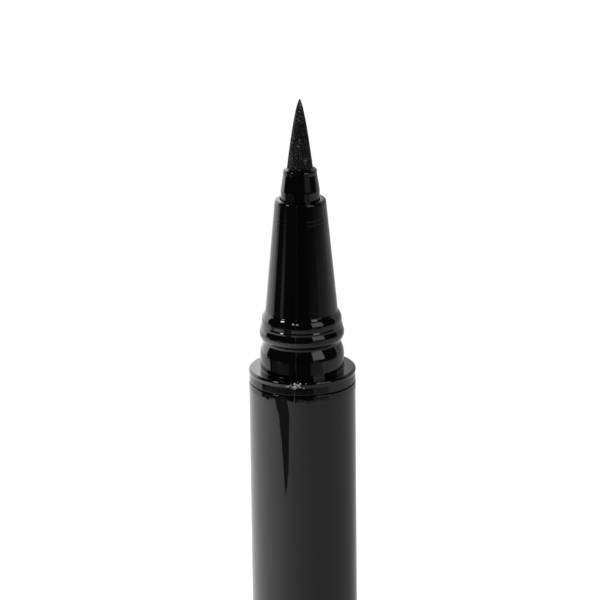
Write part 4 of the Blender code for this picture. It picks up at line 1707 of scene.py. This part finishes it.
    def build_fins(self, seat: float) -> None:
        """Repeat the slit fins down the comb.

        Args:
            seat: The height of the comb's top above the floor, in millimetres.
        """
        grower = Grower("collector_fins")
        graph = grower.graph
        count, pitch, thick, outer, root, top, sweep = grower.sizes({
            "Fins": self.fin_count, "Pitch": self.fin_pitch * MM,
            "Thickness": self.fin_thickness * MM, "Outer Radius": self.fin_radius * MM,
            "Root Radius": (self.fin_root - self.fin_overlap) * MM, "Top": seat * MM,
            "Sweep": FULL_TURN - self.slit})
        arc = graph.add("GeometryNodeCurveArc", {
            "Resolution": self.fin_points, "Radius": (outer + root) * 0.5, "Start Angle": 0.0,
            "Sweep Angle": sweep}, mode="RADIUS")
        section = graph.add("GeometryNodeCurvePrimitiveQuadrilateral", {
            "Width": outer - root, "Height": thick}, mode="RECTANGLE")
        fin = grower.sweep(arc, section)
        line = graph.add("GeometryNodeMeshLine", {
            "Count": count, "Start Location": graph.vector(0.0, 0.0, top - thick * 0.5),
            "Offset": graph.vector(0.0, 0.0, pitch * -1.0)})
        fins = graph.add("GeometryNodeInstanceOnPoints", {"Points": line, "Instance": fin})
        dress(grower.grow(fins, NATURAL_WHITE), Body.PEN, NATURAL_WHITE)

    def build_core(self) -> None:
        """Make the feed's fibre rod."""
        foot, top = span_of("feed_core")
        self.inner("feed_core_rod", "feed_core", FEED_GREY, foot,
                   Corner(0, top),
                   Corner(self.core_radius - self.core_point, top, EDGE),
                   Corner(self.core_radius, top - self.core_point, SOFT),
                   Corner(self.core_radius, 0, EDGE),
                   Corner(0, 0))


# The studio


class Ray(Enum):
    """The kinds of ray that see the surroundings."""

    CAMERA = "Is Camera Ray"
    GLOSSY = "Is Glossy Ray"
    TRANSMISSION = "Is Transmission Ray"


@dataclass(frozen=True)
class SoftLight:
    """A soft rectangular or round lamp, placed by its direction from the pen's cone.

    The turn is in degrees, 0 towards the camera and growing to the right, and the rise in
    degrees above level. Distance, width and height are in metres. The glow is its brightness.
    """

    name: str
    turn: float
    rise: float
    distance: float
    width: float
    height: float
    glow: float
    mirrored: bool = False
    disc: bool = False

    def build(self, aim: Vector) -> None:
        """Place the lamp.

        Args:
            aim: The point that it faces, in metres.
        """
        turn, rise = math.radians(self.turn), math.radians(self.rise)
        away = Vector((math.sin(turn) * math.cos(rise), -math.cos(turn) * math.cos(rise),
                       math.sin(rise)))
        lamp = bpy.data.lights.new(self.name, "AREA")
        lamp.shape = "ELLIPSE" if self.disc else "RECTANGLE"
        lamp.size, lamp.size_y = self.width, self.height
        area = self.width * self.height * (math.pi / 4 if self.disc else 1.0)
        lamp.energy = self.glow * math.pi * area
        made = placed(self.name, lamp)
        made.location = aim + away * self.distance
        made.rotation_euler = away.to_track_quat("Z", "Y").to_euler()
        made.visible_camera = False
        made.visible_glossy = self.mirrored
        log.info("lamp %s", self.name)


def lay(name: str, edge: Sequence[tuple[float, float, float]], finish: bpy.types.Material,
        camera: bool = True) -> None:
    """Lay a flat face that belongs to the studio.

    Args:
        name: The face's name.
        edge: The corners of its edge, in metres.
        finish: Its material.
        camera: Whether the camera sees it.
    """
    mesh = bpy.data.meshes.new(name)
    mesh.from_pydata(edge, [], [tuple(range(len(edge)))])
    mesh.materials.append(finish)
    made = placed(name, mesh)
    made.visible_camera = camera
    log.info("stage %s", name)


@dataclass(frozen=True)
class Panel:
    """A panel that the gloss pieces mirror: its range of turn and rise, and its glow."""

    name: str
    turn_from: float
    turn_to: float
    rise_from: float
    rise_to: float
    glow: float
    edge: float = 1.0

    def over(self, behind: Value, turn: Value, rise: Value) -> Value:
        """Put the panel before what is behind it.

        Args:
            behind: The brightness without the panel.
            turn: The turn of each direction, in degrees.
            rise: Its rise, in degrees.

        Returns:
            The brightness with the panel.
        """
        across = (turn.step(self.turn_from - self.edge, self.turn_from + self.edge)
                  * turn.step(self.turn_to + self.edge, self.turn_to - self.edge))
        along = (rise.step(self.rise_from - self.edge, self.rise_from + self.edge)
                 * rise.step(self.rise_to + self.edge, self.rise_to - self.edge))
        log.info("panel %s", self.name)
        return behind + across * along * (self.glow - behind)


@dataclass(frozen=True)
class Surroundings:
    """What the gloss pieces mirror: a pale floor glowing with painted light, brighter on one side,
    and a room with panels.

    The floor goes on beyond its edge at the sides and the back, and the room is dark in front.
    Turns are in degrees, 0 towards the camera and growing to the right.
    """

    backdrop: float = 1.0
    backdrop_top: float = 35.0
    backdrop_edge: float = 3.0
    room: float = 0.032
    # The table's glow to gloss rays is painted light, brighter towards the turn given below.
    table_dim: float = 0.50
    painted_table_light: float = 1.10
    painted_light_from: float = -110.0
    panels: tuple[Panel, ...] = (
        Panel("dark_front", -112, 112, -60, 90, 0.032, 1.5),
        Panel("right_wall", 112, 181, -60, 40, 0.42, 8.0),
        Panel("left_wall", -181, -112, -60, 36, 2.1, 1.5),
        Panel("left_table_edge", -90, -34, -60, -11, 0.11, 5.0),
        Panel("left_table_strip", -72, -60, -14, -7, 0.34, 0.9),
        Panel("right_table_edge", 24, 64, -60, -8.5, 0.25, 4.0),
        Panel("right_table", 58, 185, -60, -9, 0.50, 4.0),
        Panel("left_table", -185, -99, -60, -9, 1.15, 4.0),
        Panel("right_box_foot", 30, 64, -2, 4, 0.28, 0.6),
        Panel("right_box", 30, 64, 4, 37, 1.75, 0.6),
        Panel("right_top_light", 44, 66, 49, 61, 3.2, 0.8),
    )

    @staticmethod
    def turn_and_height(graph: Graph, kind: str) -> tuple[Value, Value]:
        """Return the turn in radians, and the height, of a kind of texture coordinate."""
        x, y, z = graph.xyz(graph.add("ShaderNodeTexCoord", output=kind))
        return x.angle_to(y * -1.0), z

    def painted_table_glow(self, graph: Graph) -> Value:
        """Make the table that gloss pieces show: a glow of painted light, brighter towards one
        side.

        Args:
            graph: The graph of the table's material.

        Returns:
            The brightness of each place.
        """
        turn, _ = self.turn_and_height(graph, "Object")
        away = turn - math.radians(self.painted_light_from)
        return self.table_dim + self.painted_table_light * (away.cosine() * 0.5 + 0.5) ** 2.0

    def in_room(self, graph: Graph) -> Value:
        """Make the room that gloss pieces show.

        Args:
            graph: The world's graph.

        Returns:
            The brightness of each direction.
        """
        turn, height = self.turn_and_height(graph, "Generated")
        turn, rise = turn * math.degrees(1), height.arcsine() * math.degrees(1)
        wall = rise.step(self.backdrop_top + self.backdrop_edge,
                         self.backdrop_top - self.backdrop_edge)
        shown = self.room + wall * (self.backdrop - self.room)
        for panel in self.panels:
            shown = panel.over(shown, turn, rise)
        return shown


@dataclass(frozen=True)
class PaintedShadowCard:
    """A dark card just above the table in front of the pen, which gloss mirrors: a painted shadow
    on the table.
    """

    # Painted shadow: a dark sheet where the table lies only in shade, seen by gloss and not by the
    # camera.
    corners: tuple[tuple[float, float], ...] = (
        (-198, -244), (-254, -238), (-295, -218), (-376, -122),
        (-336, -218), (-264, -294), (-176, -321), (-177, -279))
    lift: float = 0.2
    level: float = 0.17

    def build(self) -> None:
        """Lay the card, hidden from the camera."""
        finish, graph = new_material("painted_shadow_card")
        graph.add("ShaderNodeOutputMaterial", {"Surface": graph.matt(self.level)})
        lay("painted_shadow_card", [(x * MM, y * MM, self.lift * MM) for x, y in self.corners], finish,
            camera=False)


@dataclass
class Studio:
    """The pale floor, the dark card of painted shadow, the lamps, the white surroundings and the
    camera.

    Heights and distances are in millimetres, and the floor's radius is in metres.
    """

    aim_height: float = 140.0
    floor_radius: float = 0.375
    floor_grey: float = 0.80
    floor_lift: float = 0.55
    fill: float = 0.60
    camera_rise: float = 17.2
    camera_distance: float = 335.0
    camera_aim: float = 7.0
    camera_side: float = -0.145
    camera_roll: float = -0.67
    lens: float = 200.0
    sensor: float = 36.0
    nearest: float = 0.01
    floor_sides: int = 128
    surroundings: Surroundings = field(default_factory=Surroundings)
    card: PaintedShadowCard = field(default_factory=PaintedShadowCard)
    lamps: tuple[SoftLight, ...] = (
        SoftLight("left_panel", -128, 12, 0.60, 0.60, 0.50, 1.6),
        SoftLight("right_softbox", 48, 32, 0.80, 0.50, 0.40, 1.6),
        SoftLight("left_lamp", -70, 42, 0.80, 0.15, 0.15, 18.0, True, True),
    )

    def build(self) -> None:
        """Make everything round the pen."""
        aim = Vector((0, 0, self.aim_height * MM))
        for lamp in self.lamps:
            lamp.build(aim)
        self.build_floor()
        self.card.build()
        self.build_world()
        self.build_camera()
        bpy.context.scene.view_settings.view_transform = "Standard"

    @staticmethod
    def mirrored(graph: Graph) -> tuple[Value, Value]:
        """Tell the kinds of ray apart.

        Args:
            graph: The graph that asks.

        Returns:
            Whether a ray comes from the camera, and whether gloss or a clear piece sent it.
        """
        path = graph.tree.nodes.new("ShaderNodeLightPath")
        direct, gloss, through = (Value(graph, path.outputs[ray.value]) for ray in Ray)
        return direct, gloss.highest(through)

    def build_floor(self) -> None:
        """Lay the pale floor, white to the camera with the pen's shadow, and a glow of painted
        light to gloss rays.
        """
        finish, graph = new_material("pale_floor")
        direct, mirror = self.mirrored(graph)
        seen = graph.add("ShaderNodeAddShader", {
            0: graph.matt(self.floor_grey), 1: graph.glow(direct * self.floor_lift)})
        # Gloss rays see the floor as a glow of painted light, brighter on one side, in place of
        # the lit floor.
        both = graph.add("ShaderNodeMixShader", {
            0: mirror, 1: seen, 2: graph.glow(self.surroundings.painted_table_glow(graph))})
        graph.add("ShaderNodeOutputMaterial", {"Surface": both})
        lay("pale_floor", [(self.floor_radius * math.cos(turn),
                            self.floor_radius * math.sin(turn), 0)
                           for turn in even_turns(self.floor_sides)], finish)

    def build_world(self) -> None:
        """Make the surroundings: white to the camera, a plain fill, and panels for the gloss."""
        world = bpy.data.worlds.new("studio")
        world.use_nodes = True
        graph = Graph(world.node_tree)
        direct, mirror = self.mirrored(graph)
        shown = self.surroundings.in_room(graph)
        strength = direct + (1 - direct) * (mirror * shown + (1 - mirror) * self.fill)
        back = graph.add("ShaderNodeBackground", {"Color": grey(1.0), "Strength": strength})
        graph.add("ShaderNodeOutputWorld", {"Surface": back})
        world.cycles.sampling_method = "NONE"
        bpy.context.scene.world = world

    def build_camera(self) -> None:
        """Place the camera at the photograph's angle."""
        section = FrontSection()
        shoulder = section.seat() + section.flange_height
        target = Vector((self.camera_side, 0, shoulder + self.camera_aim)) * MM
        rise = math.radians(self.camera_rise)
        back = Vector((0, -math.cos(rise), math.sin(rise)))
        camera = bpy.data.cameras.new("camera")
        camera.sensor_width, camera.lens = self.sensor, self.lens
        camera.clip_start = self.nearest
        made = placed("camera", camera)
        made.location = target + back * self.camera_distance * MM
        roll = Matrix.Rotation(math.radians(self.camera_roll), 4, "Z")
        made.matrix_world = Matrix.Translation(made.location) @ (
            back.to_track_quat("Z", "Y").to_matrix().to_4x4() @ roll)
        bpy.context.scene.camera = made


def main() -> None:
    """Build the pen and its studio."""
    logging.basicConfig(level=logging.INFO, format="%(name)s: %(message)s")
    for part in (FrontSection(), Nib(), Barrel(), Cap(), InkSupply(), Studio()):
        part.build()
        log.info("built %s", type(part).__name__)


if __name__ == "__main__":
    main()
